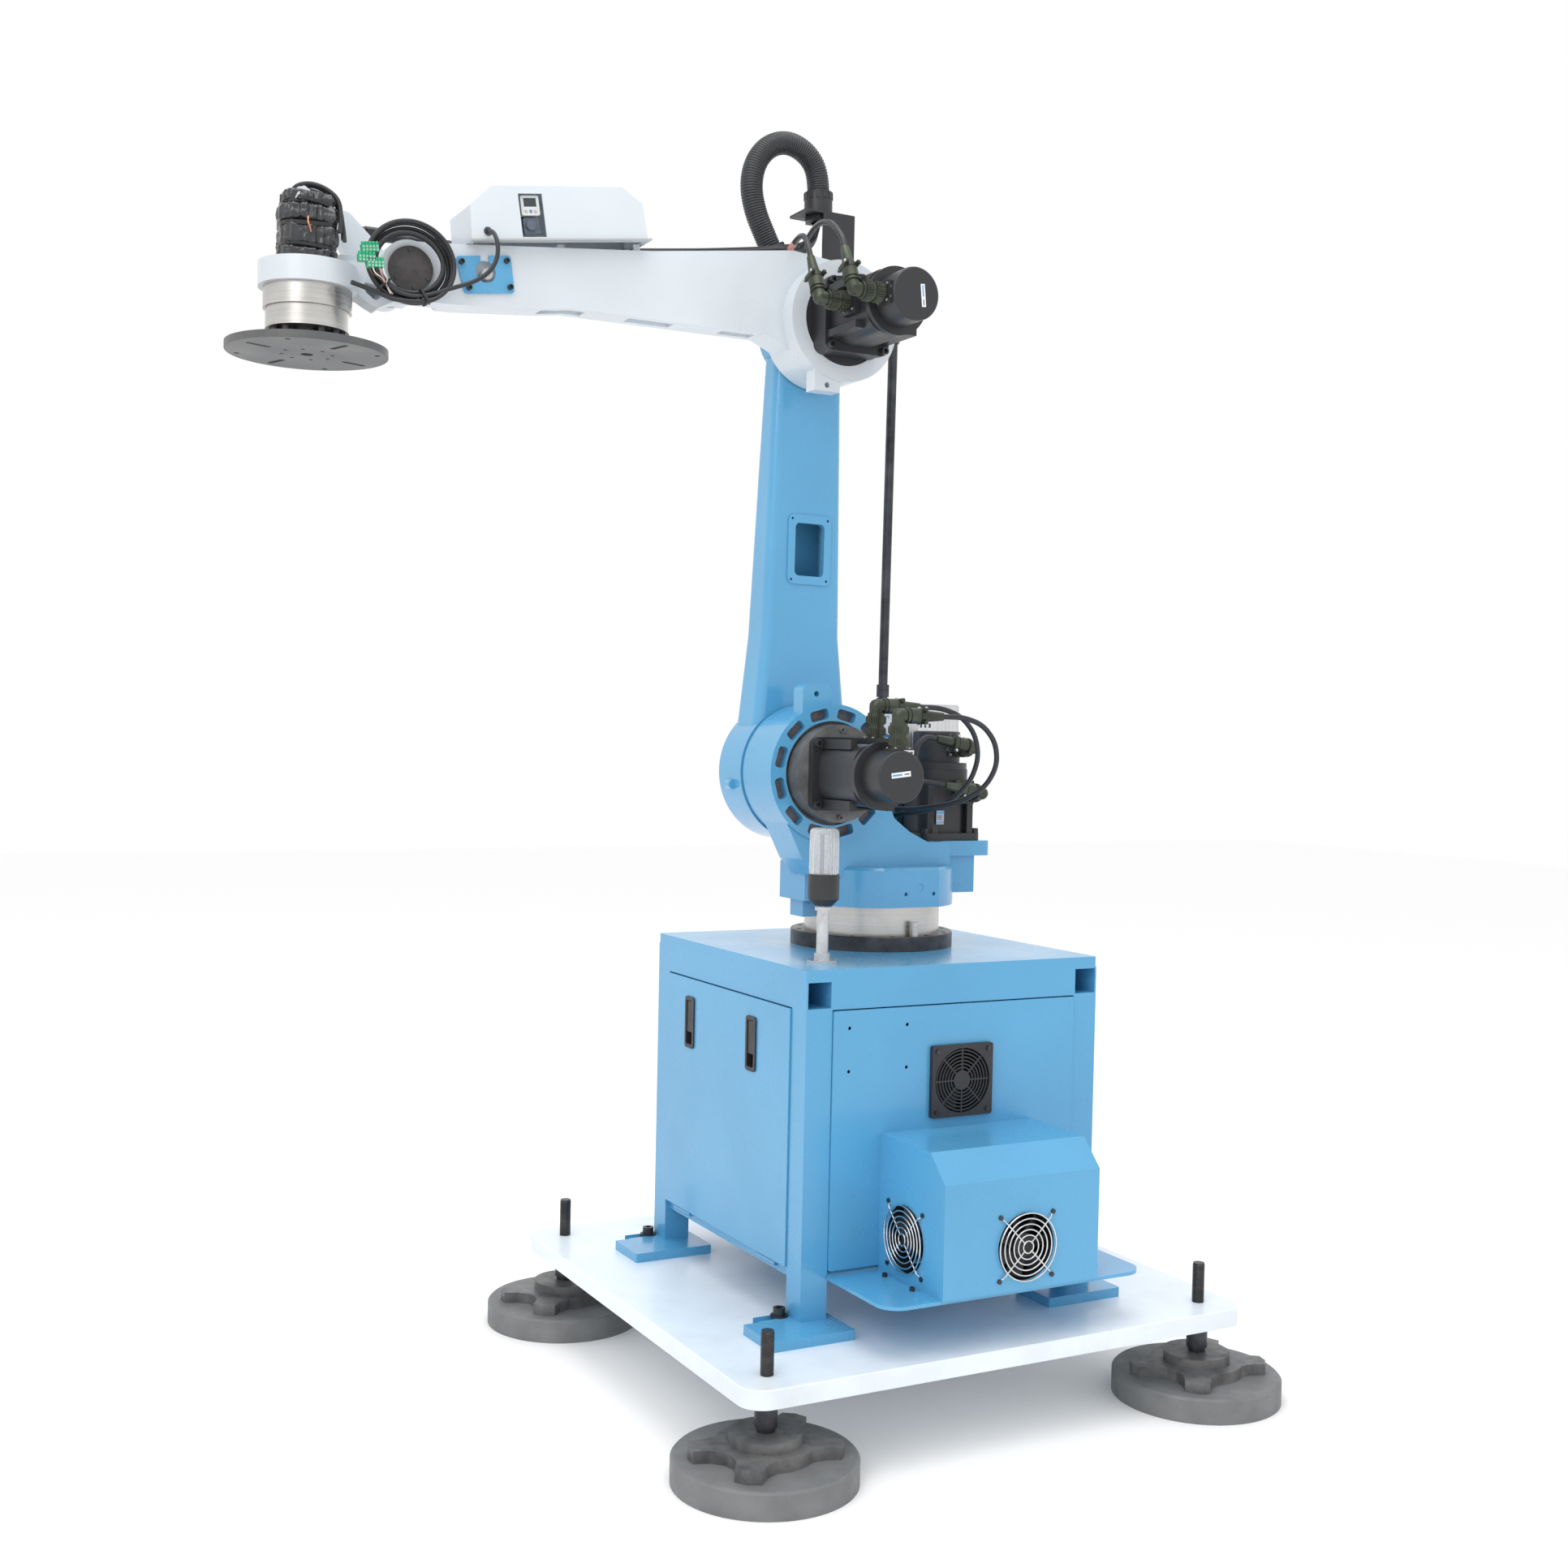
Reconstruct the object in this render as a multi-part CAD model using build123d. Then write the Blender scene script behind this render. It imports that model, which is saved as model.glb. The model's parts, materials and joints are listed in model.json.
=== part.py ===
from build123d import *
from math import cos, pi, radians, sin, sqrt, tan
import os

# A four-axis palletising robot arm on a welded control cabinet, which stands on a thick
# base plate and four levelling feet. Millimetres, +Z up. The origin is on the floor, on the
# turret's turning axis. +X is the direction that the arm reaches in, and +Y is the side
# that carries the joint motors and the cabinet's fans.

# ---- Driving dimensions: base ----
FOOT_RADIUS = 148.0
FOOT_DISC_HEIGHT = 43.0
SPIDER_THICK = 20.0
SPIDER_ARMS = (50, 152, 219, 345)
FOOT_CAP_TOP = 79.0
STUD_RADIUS = 10.0
STUD_TOP = 236.0
STUD_CENTRE = (20.0, 40.0)
STUD_SPACING = (868.0, 854.0)
PLATE_SIZE = (990.0, 978.0)
PLATE_TOP = 166.0
PLATE_THICK = 31.0
PLATE_CORNER = 42.0
PAD_THICK = 17.0

CABINET_SIZE = (600.0, 590.0)
CABINET_CENTRE = (14.0, 23.0)
CABINET_TOP = 770.0
TUBE = 50.0
TUBE_WALL = 3.0
TOP_SHEET = 18.0
PANEL_LOW = 263.0
PANEL_HIGH = 700.0
PANEL_DEPTH = 18.0
SHEET = 2.0

FAN_BOX_X = (-144.0, 166.0)
FAN_BOX_DEPTH = 202.0
FAN_BOX_Z = (256.0, 488.0)
FAN_BOX_CHAMFER = 45.0
FAN = 120.0
FAN_DEPTH = 36.0

# ---- Driving dimensions: arm ----
RING_RADIUS = 152.5
RING_TOP = 797.0
J1_CASE_RADIUS = 127.0
TURRET_LOW = 849.5
TURRET_DECK = 922.0
MOTOR_DECK = 966.0
MOTOR_1_X = -138.0
SHOULDER = (150.0, 1092.0)
LOWER_ARM = 810.0
LEAN = -0.5
FOREARM = 785.0
TILT = 0.9
WRIST_OFFSET = 146.0
REAR_ROD_OFFSET = (-230.0, 98.0)
UPPER_ROD_OFFSET = (75.0, 92.0)
ROD_Y = -108.5
ROD_NUT = 24.0
PIN_END = -121.5
PIN_CAP = -126.5
MOTOR_FLANGE = 130.0
MOTOR_FACE_Y = 130.0
HOUSING_Y = (-8.0, 100.0)
SHOULDER_RADIUS = 125.0
ELBOW_RADIUS = 108.0
ARM_NEAR_Y = -12.0
FOREARM_Y = (2.0, 62.0)
TOOL_RADIUS = 127.0
TOOL_Z = (1748.5, 1760.5)
WRIST_Z = (1850.0, 1888.0)

# ---- Derived places ----
ELBOW = (
    SHOULDER[0] + LOWER_ARM * sin(radians(LEAN)),
    SHOULDER[1] + LOWER_ARM * cos(radians(LEAN)),
)
WRIST = (ELBOW[0] + FOREARM * cos(radians(TILT)), ELBOW[1] - FOREARM * sin(radians(TILT)))
TOOL_X = WRIST[0] + WRIST_OFFSET
REAR_LOW = (SHOULDER[0] + REAR_ROD_OFFSET[0], SHOULDER[1] + REAR_ROD_OFFSET[1])
REAR_HIGH = (ELBOW[0] + REAR_ROD_OFFSET[0], ELBOW[1] + REAR_ROD_OFFSET[1])
UPPER_BACK = (ELBOW[0] + UPPER_ROD_OFFSET[0], ELBOW[1] + UPPER_ROD_OFFSET[1])
UPPER_FRONT = (WRIST[0] + UPPER_ROD_OFFSET[0], WRIST[1] + UPPER_ROD_OFFSET[1])
CX, CY = CABINET_CENTRE
FACE_X = CX + CABINET_SIZE[0] / 2
FACE_Y = CY + CABINET_SIZE[1] / 2
LEG_X = CABINET_SIZE[0] / 2 - TUBE / 2
LEG_Y = CABINET_SIZE[1] / 2 - TUBE / 2
LEG_LOW = PLATE_TOP + PAD_THICK
RAIL_TOP = CABINET_TOP - TOP_SHEET
PLATE_LOW = PLATE_TOP - PLATE_THICK

parts = {}


# ---- Helpers ----
def add(name, *shapes):
    """Keep every solid of the shapes as one node."""
    parts[name] = [solid for shape in shapes for solid in shape.solids()]


def block(x, y, z):
    """Box from three (low, high) pairs."""
    size = [high - low for low, high in (x, y, z)]
    return Pos(x[0], y[0], z[0]) * Box(*size, align=(Align.MIN,) * 3)


def rod(start, end, radius):
    """Round bar between two points."""
    axis = Vector(*end) - Vector(*start)
    bar = Cylinder(radius, axis.length, align=(Align.CENTER, Align.CENTER, Align.MIN))
    return Plane(origin=start, z_dir=axis) * bar


def tube(start, end, outer, inner):
    """Pipe between two points."""
    return rod(start, end, outer) - rod(start, end, inner)


def pivot(at, y, radius):
    """Round bar along Y at an (x, z) place."""
    return rod((at[0], y[0], at[1]), (at[0], y[1], at[1]), radius)


def slab(x, y, z, radius):
    """Flat slab whose upright corners are rounded."""
    width, depth = x[1] - x[0], y[1] - y[0]
    face = RectangleRounded(width, depth, radius)
    return Pos((x[0] + x[1]) / 2, (y[0] + y[1]) / 2, z[0]) * extrude(face, amount=z[1] - z[0])


def across(sketch, y):
    """Extrude an outline drawn in X and Z over a (low, high) stretch of Y."""
    plane = Plane(origin=(0, y[1], 0), x_dir=(1, 0, 0), z_dir=(0, -1, 0))
    return extrude(plane * sketch, amount=y[1] - y[0])


def along_x(sketch, x):
    """Extrude an outline drawn in Y and Z over a (low, high) stretch of X."""
    plane = Plane(origin=(x[0], 0, 0), x_dir=(0, 1, 0), z_dir=(1, 0, 0))
    return extrude(plane * sketch, amount=x[1] - x[0])


def outline(points, radius=0.0):
    """Closed polygon, with all its corners rounded to one radius."""
    face = make_face(Polyline(*points, close=True))
    return fillet(face.vertices(), radius) if radius else face


def link(*eyes):
    """Plate outline around two or three round eyes, each (x, z, radius)."""
    edges = []
    for x, z, radius in eyes:
        edges += (Pos(x, z) * Circle(radius)).edges()
    return make_hull(edges)


def hexagon(start, end, across_flats):
    """Hexagonal bar between two points."""
    axis = Vector(*end) - Vector(*start)
    bar = extrude(RegularPolygon(across_flats / sqrt(3), 6), amount=axis.length)
    return Plane(origin=start, z_dir=axis) * bar


def socket_screw(at, out, thread, length, head=None):
    """Cap screw: its head's underside is at a point and it points out along a direction."""
    head_radius = head or 0.75 * thread
    place = Plane(origin=at, z_dir=out)
    low = (Align.CENTER, Align.CENTER, Align.MIN)
    body = Cylinder(head_radius, thread, align=low)
    body += Pos(0, 0, -length) * Cylinder(thread / 2, length + 0.5, align=low)
    key = extrude(RegularPolygon(thread / 2.1, 6), amount=thread)
    return place * (body - Pos(0, 0, 0.45 * thread) * key)


def corner_radii(points):
    """Bend radius at each inner point: 0.45 of the shorter run over tan of half the turn."""
    radii = []
    for before, here, after in zip(points, points[1:], points[2:]):
        run_in, run_out = Vector(*here) - Vector(*before), Vector(*after) - Vector(*here)
        turn = radians(run_in.get_angle(run_out))
        radii.append(0.45 * min(run_in.length, run_out.length) / tan(turn / 2))
    return radii


def cord(name, points, radius):
    """Round cord along straight runs joined by tangent arcs."""
    radii = corner_radii(points)
    path = FilletPolyline(*points, radius=radii)
    direction = Vector(*points[1]) - Vector(*points[0])
    solid = sweep(Plane(origin=points[0], z_dir=direction) * Circle(radius), path=path)
    expected = pi * radius**2 * path.length
    print(f"{name}: length {path.length:.0f}, least radius {min(radii):.0f}, "
          f"volume ratio {solid.volume / expected:.3f}")
    return solid


# ---- Servo motor, one design used at three joints ----
MOTOR_STATOR = 121.0
MOTOR_FLANGE_THICK = 14.0
ENCODER_FLANGE = 12.0
ENCODER_CAP = 60.0
ENCODER_RADIUS = 45.0
POWER_Z = 92.0
SIGNAL_Z = 177.0
CONNECTOR_RADIUS = 14.5
CONNECTOR_RISE = 56.0
CAP_PAD_REACH = 48.0


def motor_case(place, shift):
    """Flange, finned stator and encoder flange; z leaves the flange, x faces the sockets."""
    half = MOTOR_FLANGE / 2
    flange = extrude(RectangleRounded(MOTOR_FLANGE, MOTOR_FLANGE, 16), amount=MOTOR_FLANGE_THICK)
    back = MOTOR_FLANGE_THICK + MOTOR_STATOR
    stator = Pos(0, 0, MOTOR_FLANGE_THICK) * extrude(RectangleRounded(108, 108, 38), amount=MOTOR_STATOR)
    case = flange + stator
    for sx in (-1, 1):
        for sy in (-1, 1):
            rail = Box(17, 13, 98, align=(Align.CENTER, Align.CENTER, Align.MIN))
            case += Pos(sx * (half - 12), sy * (half - 26), MOTOR_FLANGE_THICK) * rail
            screw_hole = Cylinder(4.6, 3 * MOTOR_FLANGE_THICK)
            case -= Pos(sx * (half - 11), sy * (half - 9), 0) * screw_hole
    case += Pos(half - 18, shift, POWER_Z) * Box(36, 42, 44)
    disc = Cylinder(58.5, ENCODER_FLANGE, align=(Align.CENTER, Align.CENTER, Align.MIN))
    case += Pos(0, 0, back) * disc
    return place * case


def motor_cap(place, shift):
    """Encoder cover with its socket pad."""
    back = MOTOR_FLANGE_THICK + MOTOR_STATOR + ENCODER_FLANGE
    cap = Pos(0, 0, back + ENCODER_CAP / 2) * Cylinder(ENCODER_RADIUS, ENCODER_CAP)
    cap = fillet(cap.edges().sort_by(Axis.Z)[-1], 4)
    reach = CAP_PAD_REACH
    cap += Pos(reach / 2, shift * 0.6, SIGNAL_Z) * Box(reach, 38, 38)
    return place * cap


def elbow_connector(place, side):
    """Right-angle cable connector: rises along z from its socket and turns along side."""
    low = (Align.CENTER, Align.CENTER, Align.MIN)
    body = Cylinder(CONNECTOR_RADIUS, 44, align=low)
    for z in (4, 24):
        body += Pos(0, 0, z) * Cylinder(CONNECTOR_RADIUS + 2, 15, align=low)
    body += Pos(0, 0, 44) * Cylinder(12, CONNECTOR_RISE - 44, align=low)
    body += Pos(0, 0, CONNECTOR_RISE) * Sphere(12)
    turn = Plane(origin=(0, 0, CONNECTOR_RISE), z_dir=side)
    body += turn * Cylinder(11.8, 50, align=low)
    body += turn * (Pos(0, 0, 20) * Cylinder(13.5, 18, align=low))
    return place * body


def cable_boot(place, side):
    """Tapered rubber boot on the cable end of an elbow connector."""
    turn = Plane(origin=(0, 0, CONNECTOR_RISE), z_dir=side)
    taper = Cone(10, 7, BOOT_LENGTH, align=(Align.CENTER, Align.CENTER, Align.MIN))
    return place * (turn * (Pos(0, 0, 50) * taper))


BOOT_LENGTH = 34.0


def sockets(place, shift):
    """Planes of a motor's power and signal sockets."""
    pads = []
    for x, y, z in ((MOTOR_FLANGE / 2, shift, POWER_Z), (CAP_PAD_REACH, shift * 0.6, SIGNAL_Z)):
        pads.append(Plane(place * Plane(origin=(x, y, z), x_dir=(0, 0, 1), z_dir=(1, 0, 0))))
    return pads


def lead_starts(place, side, shift):
    """Points at the boots' tips, and the way that the cables leave them."""
    starts = []
    for pad in sockets(place, shift):
        way = pad.from_local_coords(Vector(*side).normalized()) - pad.from_local_coords(Vector(0, 0, 0))
        tip = pad.from_local_coords(Vector(0, 0, CONNECTOR_RISE)) + way * (50 + BOOT_LENGTH)
        starts.append((tip, way))
    return starts


def flange_screws(place):
    """Four cap screws that hold a motor flange."""
    screws = []
    reach = MOTOR_FLANGE / 2
    for sx in (-1, 1):
        for sy in (-1, 1):
            at = (sx * (reach - 11), sy * (reach - 9), MOTOR_FLANGE_THICK)
            screws.append(place * socket_screw(at, (0, 0, 1), 9, MOTOR_FLANGE_THICK - 1))
    return screws


def add_motor(name, place, side, shift, *inside):
    """The two nodes of one joint motor: the motor itself, and its connectors."""
    add(f"{name}_motor", motor_case(place, shift), motor_cap(place, shift), *flange_screws(place), *inside)
    plugs = [elbow_connector(pad, side) for pad in sockets(place, shift)]
    boots = [cable_boot(pad, side) for pad in sockets(place, shift)]
    add(f"{name}_connectors", *plugs, *boots)


# ---- Base: feet, plate and cabinet ----
def foot_places():
    """Plan positions of the four levelling feet."""
    for sx in (-1, 1):
        for sy in (-1, 1):
            yield STUD_CENTRE[0] + sx * STUD_SPACING[0] / 2, STUD_CENTRE[1] + sy * STUD_SPACING[1] / 2


def add_feet():
    """Rubber discs, iron spiders, studs and lock nuts."""
    discs, spiders, studs, nuts = [], [], [], []
    for x, y in foot_places():
        disc = rod((x, y, 0), (x, y, FOOT_DISC_HEIGHT), FOOT_RADIUS)
        discs.append(chamfer(disc.edges().group_by(Axis.Z)[-1], 4))
        spider = rod((x, y, FOOT_DISC_HEIGHT), (x, y, FOOT_DISC_HEIGHT + SPIDER_THICK), 80)
        wedge = [(52, -46), (92, -24), (118, -21), (123, 0), (118, 21), (92, 24), (52, 46)]
        arm = extrude(outline(wedge), amount=SPIDER_THICK)
        for angle in SPIDER_ARMS:
            spider += Pos(x, y, FOOT_DISC_HEIGHT) * Rot(0, 0, angle) * arm
        spider += rod((x, y, FOOT_DISC_HEIGHT), (x, y, FOOT_CAP_TOP), 58)
        spider -= rod((x, y, FOOT_DISC_HEIGHT + 6), (x, y, FOOT_CAP_TOP + 1), STUD_RADIUS)
        spiders.append(spider)
        studs.append(rod((x, y, FOOT_DISC_HEIGHT + 6), (x, y, STUD_TOP), STUD_RADIUS))
        nut = rod((x, y, FOOT_CAP_TOP), (x, y, FOOT_CAP_TOP + 8), 15)
        nut += rod((x, y, FOOT_CAP_TOP + 8), (x, y, PLATE_LOW), 18.4)
        nuts.append(nut - rod((x, y, FOOT_CAP_TOP - 1), (x, y, PLATE_LOW + 1), STUD_RADIUS))
    add("foot_discs", *discs)
    add("foot_spiders", *spiders)
    add("foot_studs", *studs, *nuts)


def leg_places():
    """Plan positions of the cabinet's legs."""
    for sx in (-1, 1):
        for sy in (-1, 1):
            yield CX + sx * LEG_X, CY + sy * LEG_Y


PAD_BOLT = (40.0, -20.0)


def add_plate():
    """Thick base plate with its stud and bolt holes."""
    x, y = PLATE_SIZE[0] / 2, PLATE_SIZE[1] / 2
    mid_x, mid_y = STUD_CENTRE
    plate = slab((mid_x - x, mid_x + x), (mid_y - y, mid_y + y), (PLATE_LOW, PLATE_TOP), PLATE_CORNER)
    plate = chamfer(plate.edges().group_by(Axis.Z)[-1], 1.5)
    for px, py in foot_places():
        plate -= rod((px, py, PLATE_LOW - 1), (px, py, PLATE_TOP + 1), STUD_RADIUS + 0.5)
    for px, py in leg_places():
        at = px + PAD_BOLT[0], py + PAD_BOLT[1]
        plate -= rod((*at, PLATE_LOW - 1), (*at, PLATE_TOP + 1), 6)
    add("base_plate", plate)


def add_frame():
    """Welded cabinet frame: feet pads, legs, rails and the top sheet."""
    pads, legs, bolts, washers = [], [], [], []
    for x, y in leg_places():
        pad = slab((x - 42, x + 114), (y - 31, y + 93), (PLATE_TOP, LEG_LOW), 3)
        slot = slab((x + 30, x + 130), (y - 30, y - 10), (PLATE_TOP - 1, LEG_LOW + 1), 9)
        notch = block((x + 84, x + 120), (y - 40, y - 6), (PLATE_TOP - 1, LEG_LOW + 1))
        pads.append(pad - slot - notch)
        leg = block((x - TUBE / 2, x + TUBE / 2), (y - TUBE / 2, y + TUBE / 2), (LEG_LOW, RAIL_TOP - TUBE))
        core = TUBE / 2 - TUBE_WALL
        legs.append(leg - block((x - core, x + core), (y - core, y + core), (LEG_LOW + 4, RAIL_TOP - TUBE)))
        at = (x + PAD_BOLT[0], y + PAD_BOLT[1], LEG_LOW + 3)
        bolts.append(socket_screw(at, (0, 0, 1), 12, PLATE_THICK + PAD_THICK - 6, 10.5))
        washers.append(tube((*at[:2], LEG_LOW), at, 15, 6.5))

    half_x, half_y = CABINET_SIZE[0] / 2, CABINET_SIZE[1] / 2
    core = TUBE / 2 - TUBE_WALL
    z = RAIL_TOP - TUBE / 2
    rails = []
    for sx in (-1, 1):
        x = CX + sx * LEG_X
        rail = block((x - TUBE / 2, x + TUBE / 2), (CY - half_y, CY + half_y), (z - TUBE / 2, z + TUBE / 2))
        bore = block((x - core, x + core), (CY - half_y - 1, CY + half_y + 1), (z - core, z + core))
        rails.append(rail - bore)
    for sy in (-1, 1):
        y = CY + sy * LEG_Y
        span = (CX - LEG_X + TUBE / 2, CX + LEG_X - TUBE / 2)
        rail = block(span, (y - TUBE / 2, y + TUBE / 2), (z - TUBE / 2, z + TUBE / 2))
        rails.append(rail - block(span, (y - core, y + core), (z - core, z + core)))

    low = []
    low_rail = (PANEL_LOW - 20, PANEL_LOW - 1)
    for sx in (-1, 1):
        x = CX + sx * LEG_X
        low.append(block((x - 15, x + 15), (CY - LEG_Y + 25, CY + LEG_Y - 25), low_rail))
    for sy in (-1, 1):
        y = CY + sy * LEG_Y
        low.append(block((CX - LEG_X + 25, CX + LEG_X - 25), (y - 15, y + 15), low_rail))

    knuckles = []
    for y in HINGE_Y:
        knuckle = pivot(HINGE, (y - 34, y + 34), 2)
        for side in ((y - 34, y - 12.5), (y + 12.5, y + 34)):
            knuckle += pivot(HINGE, side, HINGE_RADIUS)
            knuckle += block((CX + LEG_X + 15, HINGE[0]), side, (HINGE[1] - 2, HINGE[1] + 2))
        knuckles.append(knuckle)

    top = slab((CX - half_x, CX + half_x), (CY - half_y, CY + half_y), (RAIL_TOP, CABINET_TOP), 4)
    top -= rod((0, 0, RAIL_TOP - 1), (0, 0, CABINET_TOP + 1), 60)
    add("cabinet_frame", *pads, *legs, *rails, *low, *knuckles, top)
    return bolts + washers


def tray(width, height, corner):
    """Folded sheet panel, open at the back; its outer face is at z = 0 and it goes down."""
    outer = extrude(RectangleRounded(width, height, corner), amount=-PANEL_DEPTH)
    inner = RectangleRounded(width - 2 * SHEET, height - 2 * SHEET, corner - 1)
    return outer - Pos(0, 0, -SHEET) * extrude(inner, amount=-PANEL_DEPTH)


PANEL_WIDTH = 498.0
DOOR_WIDTH = 488.0
FAN_CENTRE = (8.0, 568.0)
LATCH_Y = (-120.0, 129.0)
LATCH_Z = (571.0, 667.0)
LATCH_WIDTH = 37.0
LATCH_AXIS = (-0.75, LATCH_Z[0] + 32.25)
HINGE = (310.0, 257.0)
HINGE_Y = (-150.0, 190.0)
HINGE_RADIUS = 4.5


def side_plane(direction, proud):
    """Outer plane of one cabinet side, with y up, at the middle of its panel."""
    z = (PANEL_LOW + PANEL_HIGH) / 2
    spots = {
        "+x": ((FACE_X + proud, CY, z), (0, 1, 0), (1, 0, 0)),
        "-x": ((2 * CX - FACE_X - proud, CY, z), (0, -1, 0), (-1, 0, 0)),
        "+y": ((CX, FACE_Y + proud, z), (-1, 0, 0), (0, 1, 0)),
        "-y": ((CX, 2 * CY - FACE_Y - proud, z), (1, 0, 0), (0, -1, 0)),
    }
    at, x_dir, z_dir = spots[direction]
    return Plane(origin=at, x_dir=x_dir, z_dir=z_dir)


def add_panels():
    """Side panels, and the bottom-hinged door with its flush latches."""
    height = PANEL_HIGH - PANEL_LOW
    proud = 3.0
    fan_panel = side_plane("+y", proud) * tray(PANEL_WIDTH, height, 4)
    window = pivot(FAN_CENTRE, (FACE_Y - 30, FACE_Y + 9), 56)
    fan_panel -= window
    for x in (14 + 218, 14 + 104):
        for z in (670, 597):
            fan_panel -= rod((x, FACE_Y - 9, z), (x, FACE_Y + 9, z), 3)
    duct = block((FAN_BOX_X[0] + 40, FAN_BOX_X[1] - 40), (FACE_Y - 30, FACE_Y + 9), (300, 400))
    rear = side_plane("-x", proud) * tray(DOOR_WIDTH, height, 4)
    far = side_plane("-y", proud) * tray(PANEL_WIDTH, height, 4)
    pan = block((CX - 249, CX + 249), (CY - 244, CY + 244), (PANEL_LOW - 1, PANEL_LOW + 1))
    add("side_panels", fan_panel - duct, rear, far, pan)

    door = side_plane("+x", proud) * tray(DOOR_WIDTH, height, 4)
    bodies, paddles = [], []
    for y in LATCH_Y:
        wide = (y - LATCH_WIDTH / 2, y + LATCH_WIDTH / 2)
        face = FACE_X + proud
        door -= block((face - 30, face + 5), (wide[0] + 3, wide[1] - 3), (LATCH_Z[0] + 3, LATCH_Z[1] - 3))
        rim = slab_x((face, face + 3), wide, LATCH_Z, 7)
        cup = slab_x((face - 14, face), (wide[0] + 3, wide[1] - 3), (LATCH_Z[0] + 3, LATCH_Z[1] - 3), 5)
        inner = (LATCH_Z[0] + 7, LATCH_Z[1] - 7)
        hollow = slab_x((face - 12, face + 4), (wide[0] + 6, wide[1] - 6), inner, 4)
        bodies.append(rim + cup - hollow)
        blade = (LATCH_Z[0] + 30, LATCH_Z[1] - 8.5)
        paddle = slab_x((face - 3, face + 1.5), (wide[0] + 7, wide[1] - 7), blade, 3)
        barrel = pivot((face + LATCH_AXIS[0], LATCH_AXIS[1]), (wide[0] + 6.3, wide[1] - 6.3), 2.25)
        paddles.append(paddle + barrel)
    for y in HINGE_Y:
        side = (y - 12, y + 12)
        door += pivot(HINGE, side, HINGE_RADIUS) + block((HINGE[0] - 2, HINGE[0] + 2), side, (259, 264))
        door -= pivot(HINGE, (y - 13, y + 13), 2.3)
    add("door_panel", door)
    add("latch_bodies", *bodies)
    add("latch_paddle_left", paddles[0])
    add("latch_paddle_right", paddles[1])


def slab_x(x, y, z, radius):
    """Flat slab facing X, with rounded corners."""
    width, height = y[1] - y[0], z[1] - z[0]
    face = Pos((y[0] + y[1]) / 2, (z[0] + z[1]) / 2) * RectangleRounded(width, height, radius)
    return along_x(face, x)


# ---- Fans ----
def fan_frame(place):
    """Square fan housing with its motor mount; air leaves along z."""
    frame = extrude(RectangleRounded(FAN, FAN, 6), amount=-FAN_DEPTH)
    frame -= Cylinder(FAN / 2 - 3, 3 * FAN_DEPTH)
    hub = Pos(0, 0, -FAN_DEPTH) * Cylinder(22, 4, align=(Align.CENTER, Align.CENTER, Align.MIN))
    for angle in (45, 135, 225, 315):
        strut = block((15, FAN / 2), (-3, 3), (-FAN_DEPTH, -FAN_DEPTH + 4))
        hub += Rot(0, 0, angle) * strut
    return place * (frame + hub)


def fan_rotor(place):
    """Hub and seven pitched blades."""
    rotor = Pos(0, 0, -28) * Cylinder(20, 24, align=(Align.CENTER, Align.CENTER, Align.MIN))
    for index in range(7):
        blade = Pos(36, 0, -16) * Rot(35, 0, 0) * Box(35, 26, 2)
        rotor += Rot(0, 0, index * 360 / 7) * blade
    return place * rotor


def wire_guard(place):
    """Finger guard of round wire: rings, and four legs that end in screw eyes."""
    wire = 1.3
    guard = Pos(0, 0, 6) * Torus(10, wire)
    for radius in (20, 29, 38, 47, 56):
        guard += Pos(0, 0, 6) * Torus(radius, wire)
    for angle in (45, 135, 225, 315):
        leg = rod((8, 0, 5), (64, 0, 5), wire) + rod((64, 0, 5), (69, 0, 1.6), wire)
        guard += Rot(0, 0, angle) * leg
    return place * guard


def plastic_guard(place):
    """Moulded fan grille with concentric ribs in a square frame."""
    edge = 62.5
    guard = extrude(RectangleRounded(2 * edge, 2 * edge, 4), amount=9)
    guard -= Pos(0, 0, -1) * Cylinder(56, 12, align=(Align.CENTER, Align.CENTER, Align.MIN))
    grille = Cylinder(17, 3, align=(Align.CENTER, Align.CENTER, Align.MIN))
    for radius in (22, 28, 34, 40, 46, 52):
        ring = Cylinder(radius + 1.2, 3, align=(Align.CENTER, Align.CENTER, Align.MIN))
        grille += ring - Cylinder(radius - 1.2, 9)
    for angle in range(0, 360, 45):
        grille += Rot(0, 0, angle) * block((15, 57), (-1.3, 1.3), (0, 3))
    return place * (guard + Pos(0, 0, 4) * grille)


def guard_screws(place, height):
    """Heads of the four small screws at a fan guard's corners."""
    reach = 52.5
    head = Cylinder(4, 2.6, align=(Align.CENTER, Align.CENTER, Align.MIN))
    for sx in (-1, 1):
        for sy in (-1, 1):
            yield place * (Pos(sx * reach, sy * reach, height) * head)


FAN_FRONT_Z = 328.0
FAN_SIDE_Y = 404.0


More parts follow.
